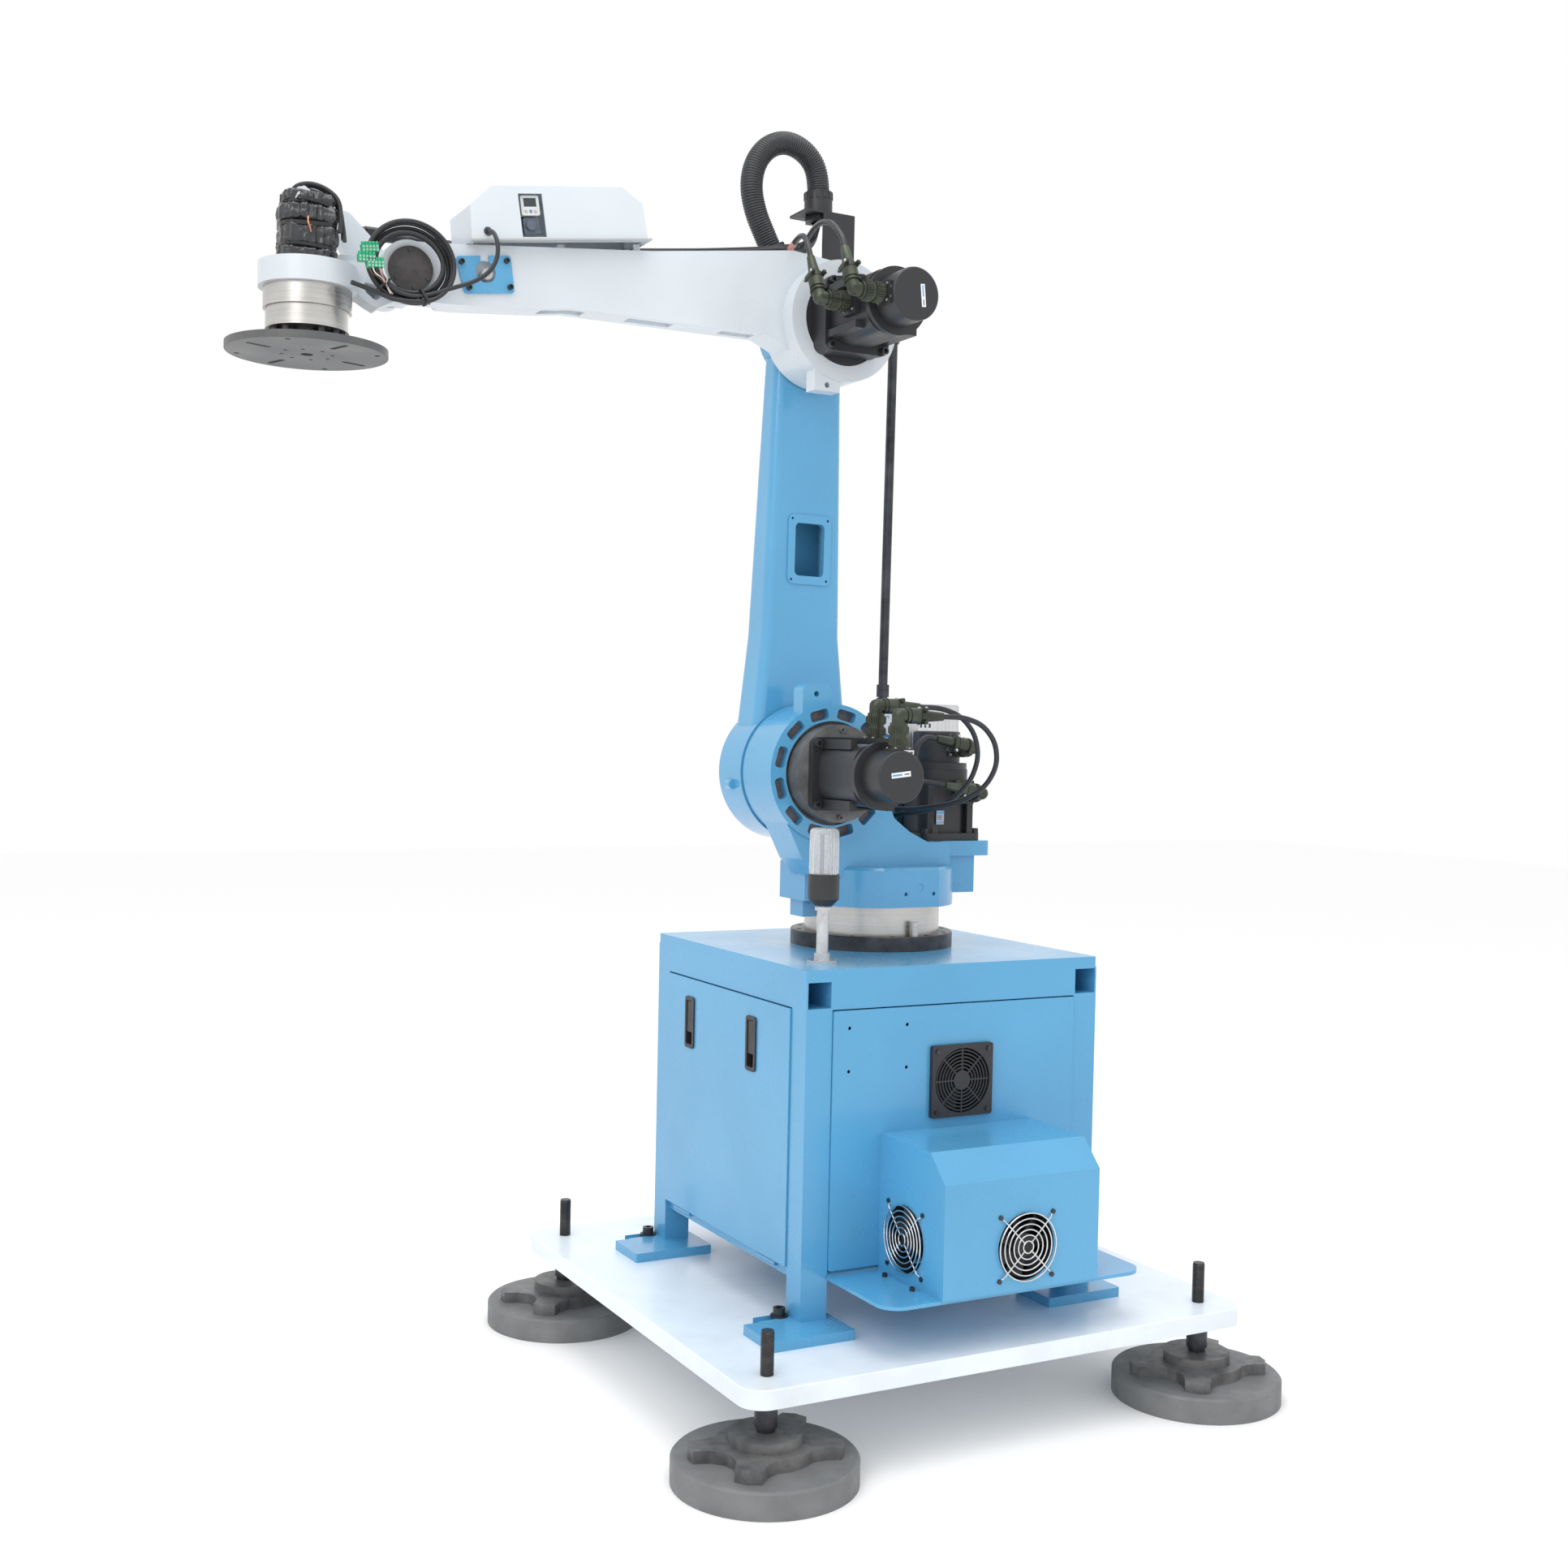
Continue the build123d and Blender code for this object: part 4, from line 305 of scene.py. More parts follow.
BLUE = (0.088, 0.350, 0.60)
WHITE = (0.62, 0.67, 0.715)
BLACK = (0.022, 0.023, 0.026)
MATERIALS = {
    "paint_blue": paint("blue_sheet_paint", BLUE),
    "paint_blue_cast": paint("blue_cast_paint", BLUE, cast=0.0006, rough=(0.2, 0.32), coat=0.5),
    "paint_white": paint("white_plate_paint", WHITE, rough=(0.35, 0.5), coat=0.15),
    "paint_white_cast": paint(
        "white_cast_paint", shade(WHITE, 0.99), cast=0.0006, rough=(0.26, 0.4), coat=0.3,
    ),
    "paint_black": paint("black_motor_paint", BLACK, peel=0.00005, rough=(0.36, 0.5), coat=0.05),
    "steel_bright": turned_metal("turned_steel", (0.60, 0.585, 0.56)),
    "steel_zinc": turned_metal(
        "zinc_plate", (0.62, 0.63, 0.65), rough=(0.25, 0.4), lines=(60, 60, 60), stain=0.12,
    ),
    "steel_dark": dark_metal("blackened_steel", (0.055, 0.056, 0.062), rough=(0.3, 0.45)),
    "cast_dark": dark_metal(
        "dark_cast_iron", (0.105, 0.108, 0.113), metallic=0.2, pits=0.0003, dust=0.35,
    ),
    "alloy_grey": dark_metal(
        "grey_anodised_alloy", (0.22, 0.225, 0.23), rough=(0.35, 0.5), metallic=0.55,
    ),
    "rubber_black": plastic("foot_rubber", (0.17, 0.175, 0.18), rough=(0.5, 0.7), speck=0.4),
    "plastic_black": plastic("black_plastic", (0.022, 0.023, 0.026)),
    "plastic_grey": plastic("grey_plastic", (0.42, 0.43, 0.44)),
    "plastic_green": plastic("green_plastic", (0.03, 0.40, 0.19), rough=(0.3, 0.4), speck=0.04),
    "olive_plated": dark_metal("olive_plating", (0.05, 0.058, 0.042), rough=(0.3, 0.45), metallic=0.6),
    "lens_clear": clear_lens("lens_plastic"),
    "cable_black": plastic("cable_sheath", (0.02, 0.021, 0.024), rough=(0.32, 0.45), speck=0.05),
    "film_black": film("black_film", (0.02, 0.021, 0.024), (0.18, 0.42)),
    "film_clear": film("pale_film", (0.62, 0.65, 0.66), (0.15, 0.35), 0.35),
    "tape_black": plastic("black_tape", (0.016, 0.016, 0.018), rough=(0.28, 0.4), speck=0.03),
    "hose_black": plastic("hose_plastic", (0.03, 0.032, 0.036), rough=(0.34, 0.46), speck=0.16),
    "chrome_wire": turned_metal(
        "chrome_wire", (0.72, 0.72, 0.72), rough=(0.1, 0.2), lines=(40, 40, 40), stain=0.15,
    ),
    "pocket_rough": dark_metal(
        "cast_pocket", (0.16, 0.13, 0.13), rough=(0.6, 0.8), metallic=0.0, pits=0.0012, dust=0.4,
    ),
    "thread_steel": dark_metal(
        "thread_steel", (0.05, 0.047, 0.045), rough=(0.35, 0.5), pits=0.0001, dust=0.2,
    ),
    "box_silver": turned_metal(
        "brushed_alloy", (0.66, 0.67, 0.68), rough=(0.3, 0.45), lines=(400, 3, 3), stain=0.1,
    ),
    "disc_grey": paint(
        "grey_disc_paint", (0.085, 0.091, 0.094), rough=(0.42, 0.55), coat=0.05, grime=0.25,
    ),
    "plate_white": paint("white_plate", shade(WHITE, 1.28), rough=(0.3, 0.45), coat=0.2, grime=0.12),
    "paint_white_box": paint("white_box_paint", shade(WHITE, 1.02), rough=(0.28, 0.4), coat=0.25),
    "lip_grey": paint("grey_lip", (0.42, 0.43, 0.42), rough=(0.4, 0.55), coat=0.05, grime=0.2),
    "gauge_pale": plastic("gauge_case", (0.60, 0.61, 0.61), speck=0.05),
    "screen_dark": plastic(
        "gauge_screen", (0.035, 0.05, 0.055), rough=(0.12, 0.2), grain=0.00001, speck=0.02,
    ),
    "valve_slate": plastic("valve_body", (0.10, 0.13, 0.17), rough=(0.3, 0.42), speck=0.1),
    "button_blue": plastic("blue_button", (0.10, 0.22, 0.42), speck=0.03),
    "cover_black": dark_metal(
        "black_cover_disc", (0.035, 0.032, 0.034), rough=(0.3, 0.42), metallic=0.3, pits=0.00005, dust=0.12,
    ),
    "copper": turned_metal(
        "copper_core", (0.75, 0.33, 0.17), rough=(0.25, 0.4), lines=(60, 60, 60), stain=0.2,
    ),
    "core_white": plastic("white_core", (0.72, 0.72, 0.70), speck=0.05),
    "core_pink": plastic("pink_core", (0.62, 0.28, 0.27), speck=0.05),
    "core_brown": plastic("brown_core", (0.14, 0.07, 0.04), speck=0.05),
    "shrink_pink": plastic("shrink_tube", (0.68, 0.33, 0.29), rough=(0.3, 0.42), speck=0.2),
    "column_white": plastic("lamp_board", (0.78, 0.80, 0.82), rough=(0.25, 0.4), speck=0.3),
    "label_white": plastic("label_paper", (0.80, 0.81, 0.82), rough=(0.3, 0.4), speck=0.06),
    "label_grey": plastic("grey_plate", (0.40, 0.42, 0.45), rough=(0.3, 0.4), speck=0.2),
    "label_blue": plastic("label_blue_ink", (0.10, 0.35, 0.62), rough=(0.3, 0.4), speck=0.05),
    "label_dark": plastic("label_dark_ink", (0.05, 0.05, 0.06), rough=(0.3, 0.4), speck=0.05),
    "label_yellow": plastic("label_yellow_ink", (0.75, 0.58, 0.08), rough=(0.3, 0.4), speck=0.05),
}


# ---- Mesh helpers ----
def give_material(piece, *names):
    """The piece's material slots, in order."""
    piece.data.materials.clear()
    for name in names:
        piece.data.materials.append(MATERIALS[name])


def smooth_by_angle(piece, degrees=35.0):
    """Smooth shading, with the edges sharper than an angle kept sharp."""
    for polygon in piece.data.polygons:
        polygon.use_smooth = True
    piece.data.set_sharp_from_angle(angle=math.radians(degrees))


def add_piece(name, points, faces, material, body, degrees=35.0):
    """New mesh piece, from points in millimetres, that rides on a body."""
    mesh = bpy.data.meshes.new(name)
    mesh.from_pydata([point * MM for point in points], [], faces)
    mesh.validate()
    work = bmesh.new()
    work.from_mesh(mesh)
    bmesh.ops.recalc_face_normals(work, faces=work.faces)
    work.to_mesh(mesh)
    work.free()
    piece = bpy.data.objects.new(name, mesh)
    bpy.context.scene.collection.objects.link(piece)
    give_material(piece, material)
    smooth_by_angle(piece, degrees)
    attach(piece, body)
    return piece


def frame_of(axis, side=None):
    """Two unit directions square to an axis; the first is near a side direction if given."""
    axis = Vector(axis).normalized()
    guess = Vector(side) if side is not None else Vector((0, 0, 1) if abs(axis.z) < 0.9 else (1, 0, 0))
    first = (guess - axis * guess.dot(axis)).normalized()
    return first, axis.cross(first)


class Shape:
    """Points, in millimetres, and faces that are gathered into one mesh piece."""

    def __init__(self):
        """Empty shape."""
        self.points = []
        self.faces = []

    def grid(self, rows, closed=True, caps=True):
        """Skin over rows of points; each row is a ring when closed."""
        start, width = len(self.points), len(rows[0])
        for row in rows:
            self.points.extend(row)
        for i in range(len(rows) - 1):
            for j in range(width if closed else width - 1):
                a, b = start + i * width + j, start + i * width + (j + 1) % width
                self.faces.append((a, b, b + width, a + width))
        if closed and caps:
            self.faces.append(tuple(range(start + width - 1, start - 1, -1)))
            last = start + (len(rows) - 1) * width
            self.faces.append(tuple(range(last, last + width)))

    def lathe(self, origin, axis, profile, count=48, wave=None):
        """Turned solid: profile gives (distance along, radius); wave changes the radius by angle."""
        origin, axis = Vector(origin), Vector(axis).normalized()
        first, second = frame_of(axis)
        rows = []
        for along, radius in profile:
            row = []
            for k in range(count):
                angle = math.tau * k / count
                reach = radius + (wave(angle) if wave else 0.0)
                out = first * math.cos(angle) + second * math.sin(angle)
                row.append(origin + axis * along + out * reach)
            rows.append(row)
        self.grid(rows)

    def box(self, centre, sizes, axes, chamfer=0.0):
        """Box with chamfered upright edges along its third axis."""
        centre = Vector(centre)
        x, y, z = (Vector(axis).normalized() for axis in axes)
        half_x, half_y, half_z = (size / 2 for size in sizes)
        cut = chamfer or min(half_x, half_y) * 0.08
        ring = []
        for sx, sy, first in ((1, 1, True), (-1, 1, False), (-1, -1, True), (1, -1, False)):
            near = (sx * (half_x - cut), sy * half_y)
            far = (sx * half_x, sy * (half_y - cut))
            ring.extend((far, near) if first else (near, far))
        rows = []
        edge = cut / 2
        for level, inset in ((-half_z, edge), (edge - half_z, 0.0), (half_z - edge, 0.0), (half_z, edge)):
            shrink_x, shrink_y = 1 - inset / half_x, 1 - inset / half_y
            rows.append([centre + x * (px * shrink_x) + y * (py * shrink_y) + z * level for px, py in ring])
        self.grid(rows)

    def tube(self, path, radius, count=10):
        """Round tube along points; radius is one number or one for each point."""
        radii = radius if isinstance(radius, list) else [radius] * len(path)
        rows, side = [], None
        for k, point in enumerate(path):
            way = (path[min(k + 1, len(path) - 1)] - path[max(k - 1, 0)]).normalized()
            first, second = frame_of(way, side)
            side = first
            row = []
            for j in range(count):
                angle = math.tau * j / count
                row.append(point + (first * math.cos(angle) + second * math.sin(angle)) * radii[k])
            rows.append(row)
        self.grid(rows)

    def make(self, name, material, body, degrees=35.0):
        """The gathered mesh as a piece on a body."""
        return add_piece(name, self.points, self.faces, material, body, degrees)


def nurbs_curve(name, points, radius=0.0):
    """Smooth open NURBS curve with the points as its control points, in millimetres."""
    curve = bpy.data.curves.new(name, "CURVE")
    curve.dimensions = "3D"
    curve.resolution_u = 6
    spline = curve.splines.new("NURBS")
    spline.points.add(len(points) - 1)
    for control, (x, y, z) in zip(spline.points, points):
        control.co = (x * MM, y * MM, z * MM, 1)
    spline.order_u = 3
    spline.use_endpoint_u = True
    curve.bevel_depth = radius * MM
    curve.bevel_resolution = 5
    curve.use_fill_caps = True
    piece = bpy.data.objects.new(name, curve)
    bpy.context.scene.collection.objects.link(piece)
    return piece


def cable(name, points, radius, material, body):
    """Round cable along a smooth line."""
    piece = nurbs_curve(name, points, radius)
    piece.data.materials.append(MATERIALS[material])
    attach(piece, body)
    return piece


def even_path(name, points, step):
    """Points a fixed step apart on the smooth line of a route, all in millimetres."""
    guide = nurbs_curve(name, points)
    guide.data.resolution_u = 16
    bpy.context.view_layer.update()
    mesh = bpy.data.meshes.new_from_object(guide.evaluated_get(bpy.context.evaluated_depsgraph_get()))
    line = [vertex.co / MM for vertex in mesh.vertices]
    bpy.data.meshes.remove(mesh)
    bpy.data.objects.remove(guide)
    spots, carried = [line[0]], 0.0
    for start, end in zip(line, line[1:]):
        run = (end - start).length
        while carried + run >= step:
            start = start.lerp(end, (step - carried) / run)
            run = (end - start).length
            carried = 0.0
            spots.append(start)
        carried += run
    return spots


# ---- Cords come first ----
CABLE = 3.6
COIL_CENTRE = (935.0, 1892.0)
COIL_Y = 90.5
COIL_LEAD = [
    (803.7, 78, 1965.4), (803.5, 96, 1963.5), (801, 110, 1952), (798, 116, 1932), (801, 115, 1908),
    (814, 110, 1888), (837, 104, 1873), (864, 99, 1863), (890, 96, 1856),
]
COIL_TAIL = [(960, 96, 1830.5), (976, 97, 1835), (1003, 99, 1842), (1031, 101, 1848)]
COIL_LAYS = [(61.0, 97.0), (52.6, 91.2), (57.6, 82.6), (66.2, 82.6), (70.0, 90.4), (70.6, 98.6)]
COIL_START = 222.0
COIL_SWEEP = 5 * 360 + 50
COIL_STEP = 360.0 / 14
COIL_HALF_WIDTH = 61
COIL_FLATTER = 8
CONTROL_REACH = 1.018
TIE_ANGLES = (247.0, 318.0)
TIE_PROFILE = [(-2.2, 0.0), (-1.9, 0.9), (1.9, 0.9), (2.2, 0.0), (2.2, -0.6), (-2.2, -0.6), (-2.2, 0.0)]


def coil_turns():
    """Control points of the tied turns, which drift from one lay to the next and fan out at the top."""
    rng = random.Random(7)
    turns = []
    for k in range(1, int(COIL_SWEEP / COIL_STEP) + 1):
        swept = k * COIL_STEP
        lay, part = int(swept // 360), (swept % 360) / 360
        low, high = COIL_LAYS[lay], COIL_LAYS[min(lay + 1, len(COIL_LAYS) - 1)]
        wide = low[0] + (high[0] - low[0]) * part
        y = low[1] + (high[1] - low[1]) * part
        angle = math.radians(COIL_START + swept)
        loose = max(0.0, math.sin(angle)) ** 2
        wide = COIL_HALF_WIDTH + (wide - COIL_HALF_WIDTH) * (1 + 0.22 * loose)
        wide += rng.uniform(-0.5, 0.5) * loose
        x = COIL_CENTRE[0] + wide * CONTROL_REACH * math.cos(angle)
        z = COIL_CENTRE[1] + (wide - COIL_FLATTER) * CONTROL_REACH * math.sin(angle) + 2.0 * loose
        turns.append((x, y, z))
    return turns


def coil_tie(name, angle):
    """Cable tie round the coil's turns at an angle in degrees, with its head and tail."""
    turn = math.radians(angle)
    out = Vector((math.cos(turn), 0, math.sin(turn)))
    along = Vector((-math.sin(turn), 0, math.cos(turn)))
    reach = 61.5 - 7.5 * abs(math.sin(turn))
    middle = Vector((COIL_CENTRE[0], COIL_Y, COIL_CENTRE[1])) + out * reach
    rows = []
    for level, grow in TIE_PROFILE:
        row = []
        for k in range(40):
            around = math.tau * k / 40
            bulge = 0.92 / max(abs(math.cos(around)), abs(math.sin(around))) ** 0.55
            spread = out * math.cos(around) * (14.0 + grow) * bulge
            spread += Vector((0, math.sin(around) * (12.2 + grow) * bulge, 0))
            row.append(middle + along * level + spread)
        rows.append(row)
    shape = Shape()
    shape.grid(rows, caps=False)
    head = middle + Vector((0, 14.5, 0)) + out * 3
    tail = head + Vector((0, 3, 0)) + out * 6
    shape.box(head, (5, 5, 4), (out, along, (0, 1, 0)), 0.6)
    shape.box(tail, (13, 2.2, 1.0), (out, along, (0, 1, 0)), 0.3)
    return shape.make(name, "plastic_black", "forearm")


def add_coil():
    """Tied spare cable at the forearm's end, with its ties."""
    coil = nurbs_curve("spare_cable", COIL_LEAD[:-1] + coil_turns() + COIL_TAIL, CABLE)
    coil.data.materials.append(MATERIALS["cable_black"])
    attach(coil, "forearm")
    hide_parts("cable_coil", "coil_lead")
    ties = [coil_tie(f"coil_tie_{index + 1}", angle) for index, angle in enumerate(TIE_ANGLES)]


# ---- Terminal strips ----
STRIPS = ((1006, 1901, 8), (1011, 1885, 4), (997, 1878, 6))
STRIP_Y = 113
WAYS = 5
WAY_PITCH = 5.4
JACKET = Vector((972, 101, 1843))


def add_terminal_strips():
    """Three five-way green terminal strips; the cores of the lowest run to the cable's jacket."""
    shape, screws = Shape(), Shape()
    outward = Vector((0, 1, 0))
    for strip_x, strip_z, lean in STRIPS:
        slope = math.radians(lean)
        right = Vector((math.cos(slope), 0, -math.sin(slope)))
        up = Vector((math.sin(slope), 0, math.cos(slope)))
        axes = (right, outward, up)
        centre = Vector((strip_x, STRIP_Y, strip_z))
        ports = []
        for k in range(WAYS):
            middle = centre + right * WAY_PITCH * (k - (WAYS - 1) / 2)
            shape.box(middle, (5.1, 12, 11.6), axes, 0.5)
            shape.box(middle + up * 7 + outward * 3, (4.4, 6, 4.6), axes, 0.5)
            screw = [(0, 1.5), (1.1, 1.5), (1.1, 0.2)]
            screws.lathe(middle + outward * 5.2 + up * 1.5, outward, screw, 16)
            screws.box(middle + outward * 5.7 - up * 3.6, (2.8, 1.0, 2.6), axes, 0.2)
            ports.append(middle - up * 4.6 + outward * 4)
    strips = shape.make("terminal_strips", "plastic_green", "forearm", 25)
    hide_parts("terminal_blocks")
    screws.make("terminal_screws", "steel_zinc", "forearm", 25)
    add_cores(ports)


def add_cores(ports):
    """Coloured cores from the terminals down to the jacket's cut end."""
    rng = random.Random(3)
    finishes = ("core_white", "core_pink", "cable_black", "core_white", "core_brown")
    for k, (port, finish) in enumerate(zip(ports, finishes)):
        bow = Vector((rng.uniform(-4, 2), rng.uniform(2, 5), rng.uniform(-3, 3)))
        route = [
            port, port + Vector((-1, 2, -10)), (port + JACKET) / 2 + bow,
            JACKET + Vector((6, 2, 8)), JACKET + Vector((-4 - k, -2, -4)),
        ]
        cable(f"core_{k + 1}", route, 0.95, finish, "forearm")


# ---- Corrugated conduit ----
CONDUIT_ROUTE = [
    (136, 2160), (137, 2196), (160, 2229), (200, 2244), (240, 2231), (268, 2197), (277, 2152), (266, 2106),
    (246, 2068), (234, 2046),
]
CONDUIT_Y = -22.0
RIB_STEP = 0.75
RIB_PITCH = 4.5
GROOVE_RADIUS = 19.1
RIB_RISE = 1.5
COLLAR_LUGS = 12


def rib_height(part):
    """Share of a rib's rise at a part of its pitch."""
    if abs(part - 0.1) < 0.09 or abs(part - 0.76) < 0.09:
        return 0.5
    return 1.0 if 0.18 < part < 0.68 else 0.0


def add_conduit():
    """Ribbed hose over the elbow, with a lugged collar at each gland."""
    path = even_path("conduit_guide", [(x, CONDUIT_Y, z) for x, z in CONDUIT_ROUTE], RIB_STEP)
    shape = Shape()
    parts = [(k * RIB_STEP / RIB_PITCH) % 1.0 for k in range(len(path))]
    shape.tube(path, [GROOVE_RADIUS + RIB_RISE * rib_height(part) for part in parts], 40)
    hose = shape.make("corrugated_hose", "hose_black", "forearm", 60)
    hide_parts("conduit")
    collar = Shape()
    for end, inner in ((path[0], path[8]), (path[-1], path[-9])):
        down = (end - inner).normalized()
        first, second = frame_of(down, (1, 0, 0))
        for k in range(COLLAR_LUGS):
            around = math.tau * k / COLLAR_LUGS
            out = first * math.cos(around) + second * math.sin(around)
            collar.box(end + down * 7 + out * 26.2, (1.6, 8.5, 12), (out, down.cross(out), down), 0.5)
        collar.lathe(end - down * 1.5, down, [(0, 21.2), (0, 24), (1.2, 26.8), (2.6, 26.8), (2.6, 21.2)])
    collar.make("gland_collars", "plastic_black", "forearm")


# ---- Wrapped wrist motor ----
WRIST_MOTOR = (1077.8, 0.0)
WRAP_Z = (1888.5, 2003.0)
WRAP_HALF = 43.5
SHOULDER = 0.62
CINCHES = ((0.2, 5.0), (0.52, 6.0), (0.8, 5.0))
STRAPS = ((0.19, 0.02, 3.2), (0.53, -0.04, 3.8), (0.79, 0.05, 3.0))


def rounded_square(angle, power):
    """Radius at an angle of a square with rounded corners and a half width of 1."""
    return 1.0 / (abs(math.cos(angle)) ** power + abs(math.sin(angle)) ** power) ** (1 / power)


def wrap_radius(angle, part):
    """Radius of the crumpled wrap at an angle and a share of its height."""
    body = WRAP_HALF * rounded_square(angle, 5)
    if part > SHOULDER:
        body *= 1 - 0.16 * (part - SHOULDER) / (1 - SHOULDER)
    cinch = 0.0
    for height, depth in CINCHES:
        cinch += depth * math.exp(-(((part - height) / 0.035) ** 2))
    spot = Vector((math.cos(angle) * 1.7, math.sin(angle) * 1.7, part * 3.4))
    folds = noise.noise(spot * 1.1) * 4.5 + abs(noise.noise(spot * 2.6)) * 3.0
    folds += abs(noise.noise(spot * 7.5)) * 0.9
    upright = noise.noise(Vector((math.cos(angle) * 4.2, math.sin(angle) * 4.2, part * 1.1 + 3.0)))
    folds += (1.0 - min(1.0, abs(upright) * 3.2)) * 4.2
    return body + folds - cinch - 2.5


def wrap_point(angle, reach, z):
    """Point round the wrist motor's axis."""
    return Vector((WRIST_MOTOR[0] + reach * math.cos(angle), WRIST_MOTOR[1] + reach * math.sin(angle), z))


def add_motor_film():
    """Crumpled black film round the wrist motor."""
    columns, levels = 168, 110
    low, high = WRAP_Z
    rows = []
    for i in range(levels + 1):
        part = i / levels
        row = []
        for j in range(columns):
            angle = math.tau * j / columns
            reach = wrap_radius(angle, part)
            if part > 0.93:
                reach *= math.sqrt(max(0.03, 1 - ((part - 0.93) / 0.074) ** 2))
            spot = Vector((math.cos(angle) * 2, math.sin(angle) * 2, part * 4))
            sag = noise.noise(spot * 1.5) * 3.0 * math.sin(math.pi * part)
            row.append(wrap_point(angle, reach, low + (high - low) * part + sag))
        rows.append(row)
    shape = Shape()
    shape.grid(rows)
    film_piece = shape.make("motor_film", "film_black", "wrist", 180)
    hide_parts("wrist_motor")


def add_film_straps():
    """Tape that ties the film round the motor."""
    low, high = WRAP_Z
    bands = Shape()
    for height, lean, wide in STRAPS:
        rows = []
        for level, grow in ((-wide, -1.0), (-wide * 0.8, 1.2), (wide * 0.8, 1.2), (wide, -1.0)):
            row = []
            for j in range(120):
                angle = math.tau * j / 120
                part = height + lean * math.sin(angle + 0.7)
                reach = 0.35 * wrap_radius(angle, part) + 0.65 * 43.0 * rounded_square(angle, 3) + 1.6
                if part > SHOULDER:
                    reach -= 4.5
                row.append(wrap_point(angle, reach + grow, low + (high - low) * part + level))
            rows.append(row)
        bands.grid(rows, caps=False)
    bands.make("film_straps", "tape_black", "wrist", 50)


def add_wrist_leads():
    """Cables over the wrapped motor's top, and a bare core."""
    x = WRIST_MOTOR[0]
    routes = [
        [(x + 30, 20, 1990), (x + 27, 22, 2003), (x + 5, 24, 2013), (x - 20, 26, 2010), (x - 43, 32, 1994),
         (x - 47, 36, 1966), (x - 44, 38, 1938)],
        [(x + 22, 8, 1994), (x + 18, 10, 2006), (x - 4, 12, 2014), (x - 28, 17, 2006), (x - 46, 24, 1986),
         (x - 52, 27, 1956), (x - 52, 28, 1930)],
        [(x + 34, -4, 1986), (x + 30, -4, 2001), (x + 6, -2, 2010), (x - 22, 2, 2007), (x - 46, 10, 1990),
         (x - 55, 16, 1962), (x - 57, 18, 1930)],
    ]
    for index, route in enumerate(routes):
        cable(f"wrist_lead_{index + 1}", route, 3.4, "cable_black", "wrist")
    core = [(x + 8, 47, 1954), (x + 10, 51, 1946), (x + 7, 53, 1938), (x + 4, 50, 1930)]
    cable("wrist_core", core, 1.4, "copper", "wrist")


def add_film_scrap():
    """Loose pale corner of film on the wrapped motor's top."""
    cells = 13
    rows = []
    for i in range(cells + 1):
        row = []
        for j in range(cells + 1):
            u, v = i / cells, j / cells
            lift = noise.noise(Vector((u * 3, v * 3, 5))) * 5
            z = 1996 + 10 * math.sin(math.pi * u) - 16 * v * v + lift
            row.append(Vector((WRIST_MOTOR[0] + 26 - 30 * u, 26 + 12 * v, z)))
        rows.append(row)
    scrap = Shape()
    scrap.grid(rows, closed=False)
    scrap.make("film_scrap", "film_clear", "wrist", 180)


def add_wrist_wrap():
    """The wrist motor in its film, with tape, leads and a loose corner."""
    add_motor_film()
    add_film_straps()
    add_wrist_leads()
    add_film_scrap()


# ---- Beacon ----
def add_beacon():
    """Ribbed clear lens with its lamp column."""
    low, high = (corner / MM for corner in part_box("beacon_lens"))
    centre = Vector(((low.x + high.x) / 2, (low.y + high.y) / 2, low.z))
    tall, radius = high.z - low.z, (high.x - low.x) / 2
    outer = [
        (0, 0.9), (0, 0.96), (4 / tall, 0.975), (0.5, 0.975), (0.9, 0.96), (0.96, 0.9),
        (0.99, 0.72), (1, 0.4), (1, 0.5 / radius),
    ]
    inner = [
        (1 - 2 / tall, 0.5 / radius), (1 - 2 / tall, 0.4), (0.96, 0.72), (0.92, 0.84), (0.5, 0.87),
        (1 / tall, 0.87),
    ]
    shape = Shape()
    profile = [(along * tall, reach * radius) for along, reach in outer + inner]
    shape.lathe(centre, (0, 0, 1), profile, 168, lambda angle: 0.6 * math.cos(angle * 28))
    lens = shape.make("lamp_lens", "lens_clear", "base", 60)
    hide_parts("beacon_lens")
    core = Shape()
    diagonal = ((1, 1, 0), (-1, 1, 0), (0, 0, 1))
    core.box(centre + Vector((0, 0, tall * 0.44)), (radius * 0.9, radius * 0.9, tall * 0.84), diagonal, 2)
    core.make("lamp_column", "column_white", "base", 30)
    chips = Shape()
    for turn in range(4):
        angle = math.radians(45 + turn * 90)
        out = Vector((math.cos(angle), math.sin(angle), 0))
        across = out.cross(Vector((0, 0, 1)))
        for row in range(6):
            for side in (-1, 1):
                spot = centre + out * radius * 0.46 + Vector((0, 0, tall * (0.12 + 0.135 * row)))
                spot += across * side * radius * 0.22
                chips.box(spot, (4.2, 4.2, 2.2), (across, (0, 0, 1), out), 0.6)
    chips.make("lamp_chips", "steel_zinc", "base", 30)


# ---- Threads and connectors ----
STUD_CENTRE = (20, 40)
STUD_REACH = (434, 427)
STUD_RADIUS = 10.0
THREAD_PITCH = 2.5
THREAD_PROFILE = [(-0.3, -1.05), (0.75, -0.2), (0.75, 0.2), (-0.3, 1.05)]
TURN_STEPS = 28


